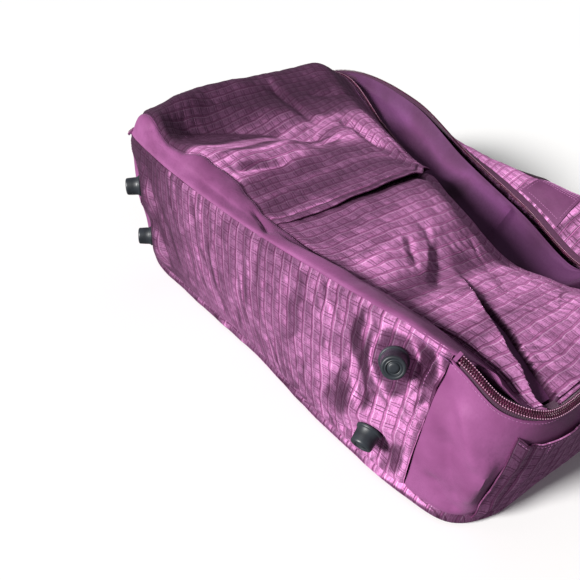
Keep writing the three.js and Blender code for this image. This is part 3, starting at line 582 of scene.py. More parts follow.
def beads(places, ways, normals, length, radius, flat=1.0):
    """A bead at each place, lying along its way, flattened along its normal."""
    shape, faces = bead_shape()
    side = unit(np.cross(normals, ways))
    x = unit(ways)[:, None] * (shape[:, 0] * length)[None, :, None]
    y = side[:, None] * (shape[:, 1] * radius)[None, :, None]
    z = unit(normals)[:, None] * (shape[:, 2] * radius * flat)[None, :, None]
    verts = (places[:, None] + x + y + z).reshape(-1, 3)
    offset = np.arange(len(places))[:, None, None] * len(shape)
    return verts, (np.array(faces)[None] + offset).reshape(-1, 4)


STITCH_LENGTH = 2.5
STITCH_RADIUS = 0.32
STITCH_LIFT = 0.1


def stitch_row(line, normals, pitch=3.4):
    """Stitches of sewing thread along a line on cloth."""
    step = np.linalg.norm(np.diff(line, axis=0), axis=1)
    walk = np.concatenate([[0], np.cumsum(step)])
    wanted = np.arange(pitch, walk[-1] - pitch, pitch)
    if not len(wanted):
        wanted = np.array([walk[-1] / 2])

    def pick(values, places):
        return np.stack([np.interp(places, walk, values[:, k]) for k in range(3)], 1)

    place = pick(line, wanted)
    way = pick(line, wanted + 0.5) - pick(line, wanted - 0.5)
    normal = unit(pick(normals, wanted))
    return beads(place + normal * STITCH_LIFT, unit(way), normal, STITCH_LENGTH, STITCH_RADIUS)


def bar_part(line, sides, normals, width, height, lift, corner, cup=0.0):
    """A strap of rounded section along a line."""
    ring = []
    w, h = width / 2, height / 2
    c = min(corner, h * 0.95)
    for cx, cz, start in ((w - c, -h + c, -90), (w - c, h - c, 0), (-w + c, h - c, 90),
                          (-w + c, -h + c, 180)):
        for k in range(3):
            turn = math.radians(start + 45 * k)
            ring.append((cx + c * math.cos(turn), cz + c * math.sin(turn)))
    ring = np.array(ring)
    bow = cup * (1 - (ring[:, 0] / w) ** 2)
    x = sides[:, None] * ring[None, :, :1]
    z = normals[:, None] * (ring[:, 1] + bow + h + lift)[None, :, None]
    verts = (line[:, None] + x + z).reshape(-1, 3)
    n, count = len(ring), len(line)
    ids = np.arange(count * n).reshape(count, n)
    nxt = np.roll(ids, -1, axis=1)
    body = np.stack([ids[:-1], nxt[:-1], nxt[1:], ids[1:]], -1).reshape(-1, 4)
    caps = []
    for end, flip in ((ids[0], True), (ids[-1], False)):
        for k in range(n // 2 - 1):
            quad = (end[k], end[k + 1], end[n - 2 - k], end[n - 1 - k])
            caps.append(quad[::-1] if flip else quad)
    return verts, np.concatenate([body, np.array(caps)])


def strip(name, parts, material, body, *nodes, slot):
    """One piece made of several beads and bars."""
    verts, faces = join_parts(parts)
    piece = mesh_object(name, verts, faces, material=material, sharp=60)
    placed(piece, body, slot, *nodes)


def placed(piece, body, slot, *nodes):
    """Puts a piece on its body and hides the CAD nodes that it stands for. Its slot is not used.
    """
    if body == "lid_cloth":
        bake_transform(piece)
    else:
        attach(piece, body)
    if nodes:
        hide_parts(*nodes)


def cloth(name, grid, thick, material, body, slot, node, shade=None):
    """A sheet of cloth in the place of one CAD piece."""
    placed(shell(name, grid, thick, material, shade), body, slot, node)


# -------------------------------------------------------------------- materials

def srgb(r, g, b):
    """A colour from its usual 0 to 255 values."""
    def linear(c):
        c /= 255.0
        return c / 12.92 if c <= 0.04045 else ((c + 0.055) / 1.055) ** 2.4
    return (linear(r), linear(g), linear(b), 1.0)


class Nodes:
    """A few short names for building a material's nodes."""

    def __init__(self, name, roughness, sheen=0.0, specular=0.5, metallic=0.0):
        self.material = bpy.data.materials.new(name)
        self.material.use_nodes = True
        self.tree = self.material.node_tree
        self.shader = self.tree.nodes["Principled BSDF"]
        self.fill(self.shader, {"Roughness": roughness, "Sheen Weight": sheen,
                                "Sheen Roughness": 0.4, "Specular IOR Level": specular,
                                "Metallic": metallic})

    def node(self, kind, **settings):
        made = self.tree.nodes.new(kind)
        for key, value in settings.items():
            setattr(made, key, value)
        return made

    def fill(self, node, values):
        for socket, value in values.items():
            node.inputs[socket].default_value = value

    def set(self, socket, value):
        if isinstance(value, bpy.types.NodeSocket):
            self.tree.links.new(value, socket)
        else:
            socket.default_value = value

    def math(self, operation, a, b=0.0):
        made = self.node("ShaderNodeMath", operation=operation)
        self.set(made.inputs[0], a)
        self.set(made.inputs[1], b)
        return made.outputs[0]

    def times(self, a, b):
        return self.math("MULTIPLY", a, b)

    def plus(self, a, b):
        return self.math("ADD", a, b)

    def minus(self, a, b):
        return self.math("SUBTRACT", a, b)

    def wave(self, value, pitch):
        return self.math("SINE", self.times(value, 2 * math.pi / pitch))

    def ramp(self, value, low, high, to_low=0.0, to_high=1.0):
        made = self.node("ShaderNodeMapRange", interpolation_type="SMOOTHSTEP")
        for socket, v in zip(made.inputs, (value, low, high, to_low, to_high)):
            self.set(socket, v)
        return made.outputs[0]

    def mix(self, share, a, b):
        made = self.node("ShaderNodeMix", data_type="RGBA")
        self.set(made.inputs[0], share)
        self.set(made.inputs[6], a)
        self.set(made.inputs[7], b)
        return made.outputs[2]

    def place(self, uv=True):
        """Cloth coordinates, or the object's own, in millimetres."""
        if uv:
            source = self.node("ShaderNodeUVMap", uv_map="cloth").outputs[0]
        else:
            source = self.node("ShaderNodeTexCoord").outputs["Object"]
        scaled = self.node("ShaderNodeVectorMath", operation="SCALE")
        self.set(scaled.inputs[0], source)
        scaled.inputs["Scale"].default_value = 1 / MM
        return scaled.outputs[0]

    def split(self, vector):
        return self.node_linked("ShaderNodeSeparateXYZ", vector).outputs

    def node_linked(self, kind, value, **settings):
        made = self.node(kind, **settings)
        self.set(made.inputs[0], value)
        return made

    def noise(self, vector, scale, detail=2.0, rough=0.55):
        made = self.node("ShaderNodeTexNoise")
        self.set(made.inputs["Vector"], vector)
        self.fill(made, {"Scale": scale, "Detail": detail, "Roughness": rough})
        return made.outputs[0]

    def bump(self, height, distance, strength=1.0, after=None):
        """height is in millimetres times distance."""
        made = self.node("ShaderNodeBump")
        self.fill(made, {"Strength": strength, "Distance": distance * MM})
        self.set(made.inputs["Height"], height)
        if after is not None:
            self.set(made.inputs["Normal"], after)
        return made.outputs[0]

    def done(self, colour, normal=None, roughness=None):
        self.set(self.shader.inputs["Base Color"], colour)
        if normal is not None:
            self.set(self.shader.inputs["Normal"], normal)
        if roughness is not None:
            self.set(self.shader.inputs["Roughness"], roughness)
        return self.material

    def shaded(self, colour, dark):
        """The colour, darkened where a piece's shade attribute says so."""
        shade = self.node("ShaderNodeAttribute", attribute_name="shade").outputs["Fac"]
        return self.mix(shade, colour, dark)


CELL = 11.6                    # the jacquard's repeat, both ways
BAND = 3.0                     # width of the bands between its satin cells


def jacquard():
    """Satin cells between woven bands; its threads run along u, so it shines across them."""
    n = Nodes("jacquard", 0.64, specular=0.3, metallic=0.85)
    n.fill(n.shader, {"Anisotropic": 0.82, "Anisotropic Rotation": 0.25})
    tangent = n.node("ShaderNodeTangent", direction_type="UV_MAP", uv_map="cloth")
    n.set(n.shader.inputs["Tangent"], tangent.outputs[0])
    at_mm = n.place()
    wander = n.times(n.minus(n.noise(at_mm, 0.035, 1.0), 0.5), 5.0)
    u, v, _ = n.split(at_mm)
    cell, local, gap = [], [], []
    for value in (u, v):
        place = n.math("DIVIDE", n.plus(value, wander), CELL)
        cell.append(n.math("FLOOR", place))
        share = n.math("FRACT", place)
        local.append(n.times(n.minus(share, 0.5), CELL))
        gap.append(n.minus(CELL / 2, n.math("ABSOLUTE", local[-1])))
    number = n.node("ShaderNodeCombineXYZ")
    n.set(number.inputs[0], cell[0])
    n.set(number.inputs[1], cell[1])
    random = n.node_linked("ShaderNodeTexWhiteNoise", number.outputs[0], noise_dimensions="3D")
    chance = n.split(random.outputs[1])
    half = BAND / 2

    def line(distance, centre, width):
        off = n.math("ABSOLUTE", n.minus(distance, centre))
        return n.ramp(off, width * 0.5, width, 1, 0)

    in_column = n.ramp(gap[0], half - 0.2, half + 0.2, 1, 0)
    in_row = n.ramp(gap[1], half - 0.2, half + 0.2, 1, 0)
    right = n.ramp(local[0], -0.1, 0.1)
    edge_u = line(gap[0], half, 0.55)
    dark_u = n.times(n.times(edge_u, right), 0.75)
    light_u = n.times(edge_u, n.minus(1.0, right))
    dash = n.minus(1.0, n.times(in_column, 0.75))
    dark_v = n.times(line(gap[1], half, 0.6), dash)
    dark = n.math("MAXIMUM", dark_u, dark_v)
    # lighter streaks drawn out across the threads: painted satin sheen, also raised a little in
    # the relief
    stretched = n.node_linked("ShaderNodeMapping", at_mm)
    n.fill(stretched, {"Scale": (1.1, 0.1, 1.0)})
    sheen_streak = n.noise(stretched.outputs[0], 1.0, 3.0, 0.65)
    slub = n.noise(at_mm, 0.55, 3.0, 0.7)
    satin = n.mix(chance[0], srgb(158, 98, 144), srgb(180, 121, 168))
    colour = satin
    for share, tone in (
            (n.ramp(sheen_streak, 0.38, 0.68, 0.0, 0.7), srgb(198, 142, 188)),
            (n.times(in_row, 0.5), srgb(172, 116, 162)),
            (n.times(in_column, 0.45), srgb(148, 76, 128)),
            (n.ramp(slub, 0.42, 0.62, 0.0, 0.4), srgb(122, 52, 98)),
            (n.times(light_u, 0.6), srgb(210, 166, 202)),
            (n.times(dark, 0.55), srgb(60, 17, 46))):
        colour = n.mix(share, colour, tone)
    colour = n.shaded(colour, srgb(26, 6, 20))
    tilt = n.plus(n.times(n.minus(chance[1], 0.5), local[0]),
                  n.times(n.minus(chance[2], 0.5), local[1]))
    puff = n.times(n.ramp(gap[0], 0.6, CELL / 2), n.ramp(gap[1], 0.6, CELL / 2))
    rib = n.ramp(gap[0], 0.0, half, 1, 0)
    relief = n.times(tilt, 0.15)
    for part, height in ((puff, 0.24), (rib, 0.1), (dark, -0.08), (sheen_streak, 0.1)):
        relief = n.plus(relief, n.times(part, height))
    fine = n.plus(n.times(n.wave(v, 0.9), 0.5), n.times(n.wave(u, 0.75), 0.3))
    normal = n.bump(relief, 1.0, 0.9)
    normal = n.bump(fine, 0.06, 0.5, normal)
    rough = n.plus(n.times(dark, 0.2), n.ramp(chance[0], 0, 1, 0.57, 0.68))
    return n.done(colour, normal, rough)


def woven(name, light, dark, pitch, roughness, sheen):
    """A plain tight weave, pitch millimetres from thread to thread."""
    n = Nodes(name, roughness, sheen=sheen, specular=0.35)
    n.fill(n.shader, {"Sheen Tint": srgb(240, 200, 240)})
    at_mm = n.place()
    u, v, _ = n.split(at_mm)
    threads = n.times(n.wave(u, pitch), n.wave(v, pitch * 1.15))
    broad = n.noise(at_mm, 0.018, 3.0)
    slub = n.noise(at_mm, 0.4, 3.0, 0.7)
    colour = n.mix(n.ramp(broad, 0.35, 0.65), light, dark)
    colour = n.mix(n.ramp(slub, 0.45, 0.7, 0.0, 0.25), colour, dark)
    colour = n.mix(n.ramp(threads, 0.2, 1.0, 0.0, 0.18), colour, dark)
    colour = n.shaded(colour, tuple(0.16 * c for c in dark[:3]) + (1.0,))
    normal = n.bump(n.noise(at_mm, 0.09, 3.0, 0.6), 1.1, 0.5)
    normal = n.bump(threads, 0.08, 0.7, normal)
    rough = n.ramp(slub, 0.3, 0.7, roughness - 0.06, roughness + 0.08)
    return n.done(colour, normal, rough)


def ribbed(name, light, dark, pitch, slant, roughness):
    """Narrow woven goods with ribs across or slanting."""
    n = Nodes(name, roughness, sheen=0.2, specular=0.3)
    at_mm = n.place()
    u, v, _ = n.split(at_mm)
    rib = n.wave(n.plus(u, n.times(v, slant)), pitch)
    fuzz = n.noise(at_mm, 0.6, 3.0, 0.7)
    colour = n.mix(n.ramp(rib, -0.4, 0.8), dark, light)
    colour = n.mix(n.ramp(fuzz, 0.4, 0.7, 0.0, 0.3), colour, dark)
    normal = n.bump(rib, 0.3, 0.7)
    normal = n.bump(fuzz, 0.25, 0.5, normal)
    return n.done(n.shaded(colour, tuple(0.2 * c for c in dark[:3]) + (1.0,)), normal)


def moulded(name, light, dark, roughness, metallic=0.0):
    """Moulded rubber, plastic or plated metal with a fine surface and handling wear."""
    n = Nodes(name, roughness, specular=0.5, metallic=metallic)
    at_mm = n.place(uv=False)
    broad = n.noise(at_mm, 0.12, 3.0)
    fine = n.noise(at_mm, 2.7, 2.0, 0.7)
    colour = n.mix(n.ramp(broad, 0.35, 0.7), light, dark)
    colour = n.mix(n.ramp(fine, 0.55, 0.75, 0.0, 0.35), colour, light)
    rough = n.ramp(broad, 0.3, 0.7, roughness - 0.07, roughness + 0.08)
    return n.done(colour, n.bump(fine, 0.06, 0.6), rough)


def thread_material(name, light, dark):
    """Twisted thread in two tones."""
    n = Nodes(name, 0.55, sheen=0.3)
    at_mm = n.place(uv=False)
    twist = n.noise(at_mm, 1.5, 2.0)
    return n.done(n.mix(n.ramp(twist, 0.35, 0.65), light, dark), n.bump(twist, 0.1, 0.5))


JACQUARD = jacquard()
PLAIN = woven("plain_cloth", srgb(148, 82, 134), srgb(128, 66, 114), 0.62, 0.56, 0.1)
LINING = woven("lining_cloth", srgb(112, 58, 110), srgb(94, 44, 88), 0.5, 0.66, 0.06)
TAPE = ribbed("tape_cloth", srgb(104, 64, 94), srgb(62, 30, 54), 1.5, 0.7, 0.75)
WEBBING = ribbed("webbing_cloth", srgb(52, 26, 44), srgb(26, 12, 24), 1.3, 0.0, 0.7)
COIL = moulded("coil_plastic", srgb(88, 32, 62), srgb(54, 14, 36), 0.32)
COIL_THREAD = thread_material("coil_thread", srgb(220, 168, 196), srgb(170, 112, 148))
THREAD = thread_material("sewing_thread", srgb(178, 112, 166), srgb(146, 84, 134))
DARK_THREAD = thread_material("dark_thread", srgb(126, 70, 116), srgb(92, 44, 84))
RUBBER = moulded("stud_rubber", srgb(46, 51, 57), srgb(30, 34, 40), 0.42)
# anchor patch cloth: the plain cloth with shade painted into its colour
PATCH_IN_PAINTED_SHADE = woven("patch_cloth_painted_shade", srgb(110, 58, 100), srgb(92, 46, 82), 0.62, 0.6, 0.1)
STOP = moulded("stop_plastic", srgb(140, 78, 126), srgb(118, 62, 106), 0.5)
ENAMEL = moulded("slider_enamel", srgb(92, 40, 68), srgb(58, 20, 42), 0.3, 0.5)
STEEL = moulded("screw_steel", srgb(198, 198, 200), srgb(150, 150, 154), 0.32, 0.9)
SHEET = moulded("stiffener_sheet", srgb(52, 52, 56), srgb(30, 30, 34), 0.5)

# ------------------------------------------------------------------- lid cloths

CLOTH = 1.2                    # thickness of the outer cloths
LINING_CLOTH = 0.6
LID_LINING_DEPTH = 6.0
UNDER_DEPTH = 2.9              # how deep the cloth behind the pocket lies
POCKET_PROUD = 0.6
LID_WIDE = 330                 # the lid from its seam to its lip
LID_LONG = 560
MOUTH_PLACE = 0.545            # the pocket's mouth, as a share of the lid's length
SEAM_GROOVE = 1.5              # how far the cloth is drawn in at a seam
SEAM_REACH = 3.5


def band_share(across):
    """Where the plain band ends on the lid, as a share of the way out."""
    return eased(BAND_SHARE, across)


def groove(distance, depth=SEAM_GROOVE):
    """How far cloth is drawn in at a distance from a seam."""
    return -depth * np.exp(-(distance / SEAM_REACH) ** 2)


def lid_relief(grid):
    """Folds and crinkles that every layer of the lid shares."""
    x, y = grid[..., 0], grid[..., 1]
    height = folded(grid, LID_FOLDS)
    height += 1.6 * value_noise(x / 62, y / 54, 31) + 0.9 * value_noise(x / 27, y / 24, 32)
    far_edge = -286 + 0.5 * np.maximum(-y - 60, 0)
    crest = eased(FAR_CREST, y) * np.exp(-((x - far_edge - 38) / 27) ** 2)
    return height * smooth((x - far_edge - 12) / 34) + crest


def lid_crinkle(grid):
    """Fine crinkles of the jacquard: across the band far out, across the long fold near it."""
    x, y = grid[..., 0], grid[..., 1]
    lengthwise = ripples(y, x, 41, 9.0, 4.0, 0.45)
    a, b = 0.62 * x - 0.78 * y, 0.78 * x + 0.62 * y
    across = ripples(a, b, 45, 7.5, 3.5, 0.8)
    return mix(lengthwise, across, smooth((x - 60) / 110))


def lid_grid(start, end, columns, rows):
    """Points of the lid between two lines across it, from start(a) to end(a)."""
    a = columns[:, None]
    o = start(columns)[:, None] + (end(columns) - start(columns))[:, None] * rows[None]
    return lid(a, o), a, o


LID_COLUMNS = np.concatenate([np.linspace(0.0, 0.06, 15)[:-1], np.linspace(0.06, 1.0, 236)])


def make_band():
    """The plain band beside the base, swollen where its near half stands in a soft roll."""
    rows = np.linspace(0, 1, 31)
    grid, _, _ = lid_grid(lambda c: 0 * c, band_share, LID_COLUMNS, rows)
    wide = (band_share(LID_COLUMNS) * LID_WIDE)[:, None]
    rows = rows[None]
    height = lid_relief(grid) * smooth(rows / 0.5)
    height += folded(grid, BAND_FOLDS)
    height += groove(rows * wide, 1.2) + groove((1 - rows) * wide)
    x, y = grid[..., 0], grid[..., 1]
    near = smooth((x - 20) / 150)
    swell = 2.2 * np.sin(np.pi * rows) ** 0.8 + 7.5 * near * np.exp(-((rows - 0.4) / 0.24) ** 2)
    dip = -3.0 * near * np.exp(-((0.86 - rows) / 0.2) ** 2)
    height += swell + dip + 0.4 * value_noise(x / 14, y / 9, 51)
    return raised(grid, height)


def mouth(o):
    """Where the pocket's mouth crosses the lid, on its way out to the lip."""
    return eased(POCKET_MOUTH, o)


def mouth_grid(columns, rows, low, high, lift=0.0, top=1.0, from_mouth=True):
    """Points of the lid on one side of the pocket's mouth, from the band to the lip."""
    c, r = columns[:, None], np.linspace(0, 1, rows)[None]
    a = mix(MOUTH_PLACE + low, high, c) if from_mouth else c * MOUTH_PLACE
    for _ in range(3):
        foot = band_share(a) + lift
        o = foot + (top - foot) * r
        if from_mouth:
            a = mix(mouth(o) + low, high, c)
        else:
            a = c * (mouth(o) + high) + 0 * r
    return lid(a, o), a, o


def mouth_opening(o):
    """How open the pocket's mouth is: a closed line at the band, wide near the lip."""
    ends = smooth((o - 0.17) / 0.06) * smooth((0.965 - o) / 0.03)
    return ends * mix(0.7, 4.0, smooth((o - 0.22) / 0.4))


def make_panel():
    """The lid's main cloth as far as its hem, which laps over the pocket's mouth."""
    grid, a, o = mouth_grid(LID_COLUMNS, 140, 0.0, 0.004, from_mouth=False)
    edge = (mouth(o) - a) * LID_LONG
    height = lid_relief(grid) + lid_crinkle(grid) * smooth((edge - 2) / 8)
    height += groove((o - band_share(a)) * LID_WIDE)
    height += (0.9 + mouth_opening(o)) * np.exp(-np.maximum(edge, 0) / 16)
    height += -0.9 * np.exp(-((edge - 7.5) / 1.3) ** 2)
    # the second value is the valley's painted shade
    return raised(grid, height), valley_shade(grid)


def valley_shade(grid):
    """Painted shade that darkens the valley's steep face, which takes the light along its thread.
    """
    signed, share = near_line(grid, open_curve(VALLEY, 24), grid_normals(grid))
    face = smooth(-signed / 4) * smooth((76 + signed) / 22)
    return PAINTED_SHADE_STRENGTH * face * smooth(share / 0.15) * smooth((1 - share) / 0.2)


def make_under():
    """The cloth behind the pocket, joined to the main one under the hem."""
    grid, a, o = mouth_grid(np.linspace(0, 1, 150), 140, -0.045, 1.0)
    height = lid_relief(grid) - UNDER_DEPTH + 1.8 * smooth((a - 0.975) / 0.015)
    height += groove((o - band_share(a)) * LID_WIDE) + long_fold(grid)[0]
    return raised(grid, height)


def make_pocket():
    """The pocket's face, with shade painted dark inside the mouth and in the long fold."""
    grid, a, o = mouth_grid(np.linspace(0, 1, 185), 185, -0.02, POCKET_END, 0.001, 0.992)
    height = lid_relief(grid) + lid_crinkle(grid) + POCKET_PROUD
    height += groove((o - band_share(a)) * LID_WIDE, 1.6)
    edge = (a - mouth(o)) * LID_LONG
    height += -(0.8 + 0.55 * mouth_opening(o)) * np.exp(-(np.maximum(edge, 0) / 7.0) ** 2)
    height += -0.8 * smooth(-edge / 8)
    slot, dark = long_fold(grid)
    height += slot
    # painted shade just inside the pocket's mouth
    deep = smooth((1.0 - edge) / 3.0) * 0.95
    return raised(grid, height), np.maximum(dark, deep)


def merged(name, pieces, material):
    """One object of several."""
    verts, faces, uvs, shades, count = [], [], [], [], 0
    for piece in pieces:
        mesh = piece.data
        verts += [v.co / MM for v in mesh.vertices]
        faces += [tuple(k + count for k in f.vertices) for f in mesh.polygons]
        flat = np.zeros((len(mesh.vertices), 2))
        for loop, uv in zip(mesh.loops, mesh.uv_layers[0].data):
            flat[loop.vertex_index] = uv.uv
        uvs.append(flat / MM)
        shade = np.zeros(len(mesh.vertices), np.float32)
        mesh.attributes["shade"].data.foreach_get("value", shade)
        shades.append(shade)
        count += len(mesh.vertices)
        bpy.data.objects.remove(piece)
    return mesh_object(name, np.array(verts), faces, np.vstack(uvs), np.concatenate(shades),
                       material)


band_grid = make_band()
panel_grid, panel_shade = make_panel()
pocket_grid, pocket_shade = make_pocket()

cloth("front_band_cloth", band_grid, CLOTH, PLAIN, "lid_cloth", "plain_cloth", "front_band")
panel_pieces = [shell("panel_main", panel_grid, CLOTH, JACQUARD, panel_shade),
                shell("panel_under", make_under(), CLOTH, JACQUARD)]
placed(merged("front_panel_cloth", panel_pieces, JACQUARD), "lid_cloth", "jacquard", "front_panel")
cloth("front_pocket_cloth", pocket_grid, CLOTH, JACQUARD, "lid_cloth", "jacquard",
      "front_pocket", pocket_shade)

lining_grid, _, _ = lid_grid(lambda c: 0 * c + 0.02, lambda c: 0 * c + 0.99,
                             np.linspace(0.015, 0.985, 110), np.linspace(0, 1, 70))
lining_height = lid_relief(lining_grid) - LID_LINING_DEPTH
lining_height += ripples(lining_grid[..., 0], lining_grid[..., 1], 61, 26, 2.4, 1.2)
cloth("lid_lining_cloth", raised(lining_grid, lining_height), LINING_CLOTH, LINING, "lid_cloth",
      "lining", "lid_lining")

# ------------------------------------------------------------------------ walls

HEM = 0.07                     # share of the wall where the back panel's cloth starts


def rim_stop(station, strip_width):
    """Share of the wall's height that ends a strip's width below the rim."""
    tall = np.linalg.norm(wall(station, 1.0) - wall(station, 0.7), axis=-1)
    return 1 - strip_width / tall * 0.3


def wall_relief(grid, size=1.0):
    """Folds and soft swells that every layer of a wall shares."""
    around, z = np.arctan2(grid[..., 1], grid[..., 0]) * 260, grid[..., 2]
    swell = 1.5 * value_noise(around / 46, z / 40, 71) + 0.7 * value_noise(around / 19, z / 22, 72)
    return folded(grid, WALL_FOLDS) + size * swell


def seam_shift(share, up, away):
    """How far a wall moves to meet the base's edge, which its studs pull flat."""
    shift = base(np.full(up.shape, share), up) - wall(BASE_END * share, up)
    return shift * (1 - smooth(away / 45))[..., None]


def wall_cloth(name, start, end, columns, rows, material, slot, node, crinkle=0.0):
    """A stretch of the wall between two stations, from the back panel to the zip's tape."""
    stations = spread(RIM, start, end, columns)[:, None]
    share = np.linspace(0, 1, rows)[None]
    top = rim_stop(stations, BODY_TAPE)
    up = HEM + (top - HEM) * share
    grid = wall(stations, up)
    height = wall_relief(grid) * smooth(share / 0.06) * smooth((1 - share) / 0.06)
    length = distances(grid, 0)[:, None]
    tall = distances(grid, 1)[-1]
    if start == BASE_END:
        grid = grid + seam_shift(1.0, up[:1], length)
    if end == COUNT:
        grid = grid + seam_shift(0.0, up[-1:], length[-1] - length)
    height += groove(length) + groove(length[-1] - length)
    height += groove(share * tall)
    height += ripples(length + 0 * share, grid[..., 2], 75, 9.0, 4.0, crinkle)
    grid = raised(grid, height)
    cloth(name, grid, CLOTH, material, "bag_body", slot, node)
    return grid


def make_base():
    """The base panel's cloth, flat round its studs."""
    share = np.linspace(0, 1, 236)[:, None]
    up = HEM + (1 - HEM) * np.linspace(0, 1, 84)[None]
    grid = base(share, up)
    x, z = grid[..., 0], grid[..., 2]
    clear = np.ones(grid.shape[:-1])
    for name in FEET:
        away = np.linalg.norm(grid - FOOT_CENTRES[name], axis=-1)
        clear = clear * smooth((away - 13) / 16)
    height = folded(grid, BASE_FOLDS)
    height += 1.2 * value_noise(x / 60, z / 48, 81) + 0.6 * value_noise(x / 26, z / 30, 82)
    height += ripples(x, z, 85, 10.0, 5.0, 0.7) * smooth((120 - x) / 90)
    height += ripples(x, z, 88, 12.0, 1.4, 0.7) * smooth((x - 20) / 90)
    height = np.maximum(height + 0.9, -1.5) * clear
    tall = distances(grid, 1)[None]
    length = distances(grid, 0)[:, None]
    height += groove(tall) + groove(tall[0, -1] - tall, 1.2)
    height += groove(length) + groove(length[-1] - length)
    return raised(grid, height)


base_grid = make_base()
cloth("base_cloth", base_grid, CLOTH, JACQUARD, "bag_body", "jacquard", "base_panel")
near_grid = wall_cloth("near_gusset_cloth", BASE_END, NEAR_TOP, 150, 60, PLAIN, "plain_cloth",
                       "near_gusset")
top_grid = wall_cloth("top_gusset_cloth", NEAR_TOP, FAR_TOP, 210, 76, JACQUARD, "jacquard",
                      "top_gusset", crinkle=0.6)
far_grid = wall_cloth("far_gusset_cloth", FAR_TOP, COUNT, 140, 64, PLAIN, "plain_cloth",
                      "far_gusset")


POCKET_LOW = 0.06
POCKET_SAG = 0.05


def end_pocket(name, node, start, end, high):
    """A slip pocket sewn on an end, gathered a little along its open upper edge."""
    stations = spread(RIM, start, end, 130)[:, None]
    share = np.linspace(0, 1, 60)[None]
    length = np.linspace(0, 1, 131)[:, None]
    top = high - POCKET_SAG * np.sin(np.pi * length) ** 0.6
    top = top + 0.05 * (1 - smooth(length / 0.06))
    up = POCKET_LOW + (top - POCKET_LOW) * share
    grid = wall(stations, up)
    edge = np.minimum(length, 1 - length) * distances(grid, 0)[-1]
    proud = 1.9 + 1.3 * share ** 2 * smooth(edge / 40)
    height = wall_relief(grid) + proud
    height += ripples(edge + 0 * share, grid[..., 2], 91, 11, 4.0, 0.9)
    height += 2.2 * np.exp(-((edge - 9) / 4.5) ** 2) - 2.0 * np.exp(-((edge - 17) / 3.5) ** 2)
    grid = raised(grid, height)
    cloth(name, grid, 1.1, JACQUARD, "bag_body", "jacquard", node)
    return grid


near_pocket_grid = end_pocket("near_pocket_cloth", "near_end_pocket", 5.5, 9.45, 0.78)
far_pocket_grid = end_pocket("far_pocket_cloth", "far_end_pocket", 15.6, 17.75, 0.66)


def outward(ring):
    """Level directions out of a closed ring of points."""
    tangent = unit(np.roll(ring, -1, 0) - np.roll(ring, 1, 0))
    return unit(np.cross(tangent, np.array([0.0, 0.0, 1.0])))


def make_back():
    """The back panel's cloth: up from the flat underside to the lower seam of the walls."""
    stations = spread(FLOOR, 0, COUNT, 420)[:-1]
    rim = wall(stations, HEM)
    share = np.clip(stations / BASE_END, 0, 1)
    rim = np.where((stations < BASE_END)[:, None], base(share, np.full(len(stations), HEM)), rim)
    out = outward(rim)
    rows = [rim - out * 3.2 + (0, 0, 3.0), rim - out * 1.9]
    for turn in np.linspace(12, 90, 9):
        t = math.radians(turn)
        ring = rim - out * (11 * (1 - math.cos(t)) + 1.5 - 4.5 * math.sin(2 * t))
        ring[:, 2:] = rim[:, 2:] * (1 - math.sin(t))
        rows.append(ring)
    flat = rows[-1]
    for k in range(1, 15):
        rows.append(mix(flat, np.array([10.0, 0.0, 0.0]), 1 - (1 - k / 15) ** 1.1))
    grid = np.stack(rows[::-1], 1)
    height = 0.5 * value_noise(grid[..., 0] / 18, grid[..., 1] / 18, 95)
    height = height * smooth(grid[..., 2] / 6)
    grid = raised(grid, height, closed=True)
    grid[..., 2] = np.maximum(grid[..., 2], 0.0)
    return grid


def round_shell(name, grid, thick, material):
    """A closed sheet that goes all the way round, with its middle filled."""
    rows, columns = grid.shape[:2]
    inner = grid - grid_normals(grid, closed=True) * thick
    middle = grid[:, 0].mean(0)
    verts = np.concatenate([grid.reshape(-1, 3), inner.reshape(-1, 3), [middle],
                            [middle + (0, 0, thick)]])
    low = rows * columns
    ids = np.arange(low).reshape(rows, columns)
    nxt = np.roll(ids, -1, axis=0)
    quads = np.stack([ids[:, :-1], nxt[:, :-1], nxt[:, 1:], ids[:, 1:]], -1).reshape(-1, 4)
    rim = np.stack([ids[:, -1], nxt[:, -1], nxt[:, -1] + low, ids[:, -1] + low], -1)
    hub = [(2 * low, nxt[i, 0], ids[i, 0]) for i in range(rows)]
    hub += [(2 * low + 1, ids[i, 0] + low, nxt[i, 0] + low) for i in range(rows)]
    faces = quads.tolist() + (quads[:, ::-1] + low).tolist() + rim.tolist()
    faces += [tuple(int(k) for k in h) for h in hub]
    return mesh_object(name, verts, faces, verts[:, :2], None, material)


placed(round_shell("back_cloth", make_back(), 1.0, JACQUARD), "bag_body", "plain_cloth",
       "back_panel")

# ---------------------------------------------------------------------- linings


OPEN_FROM = 10.35              # stations between which the lining shows in the open mouth
OPEN_TO = 15.0


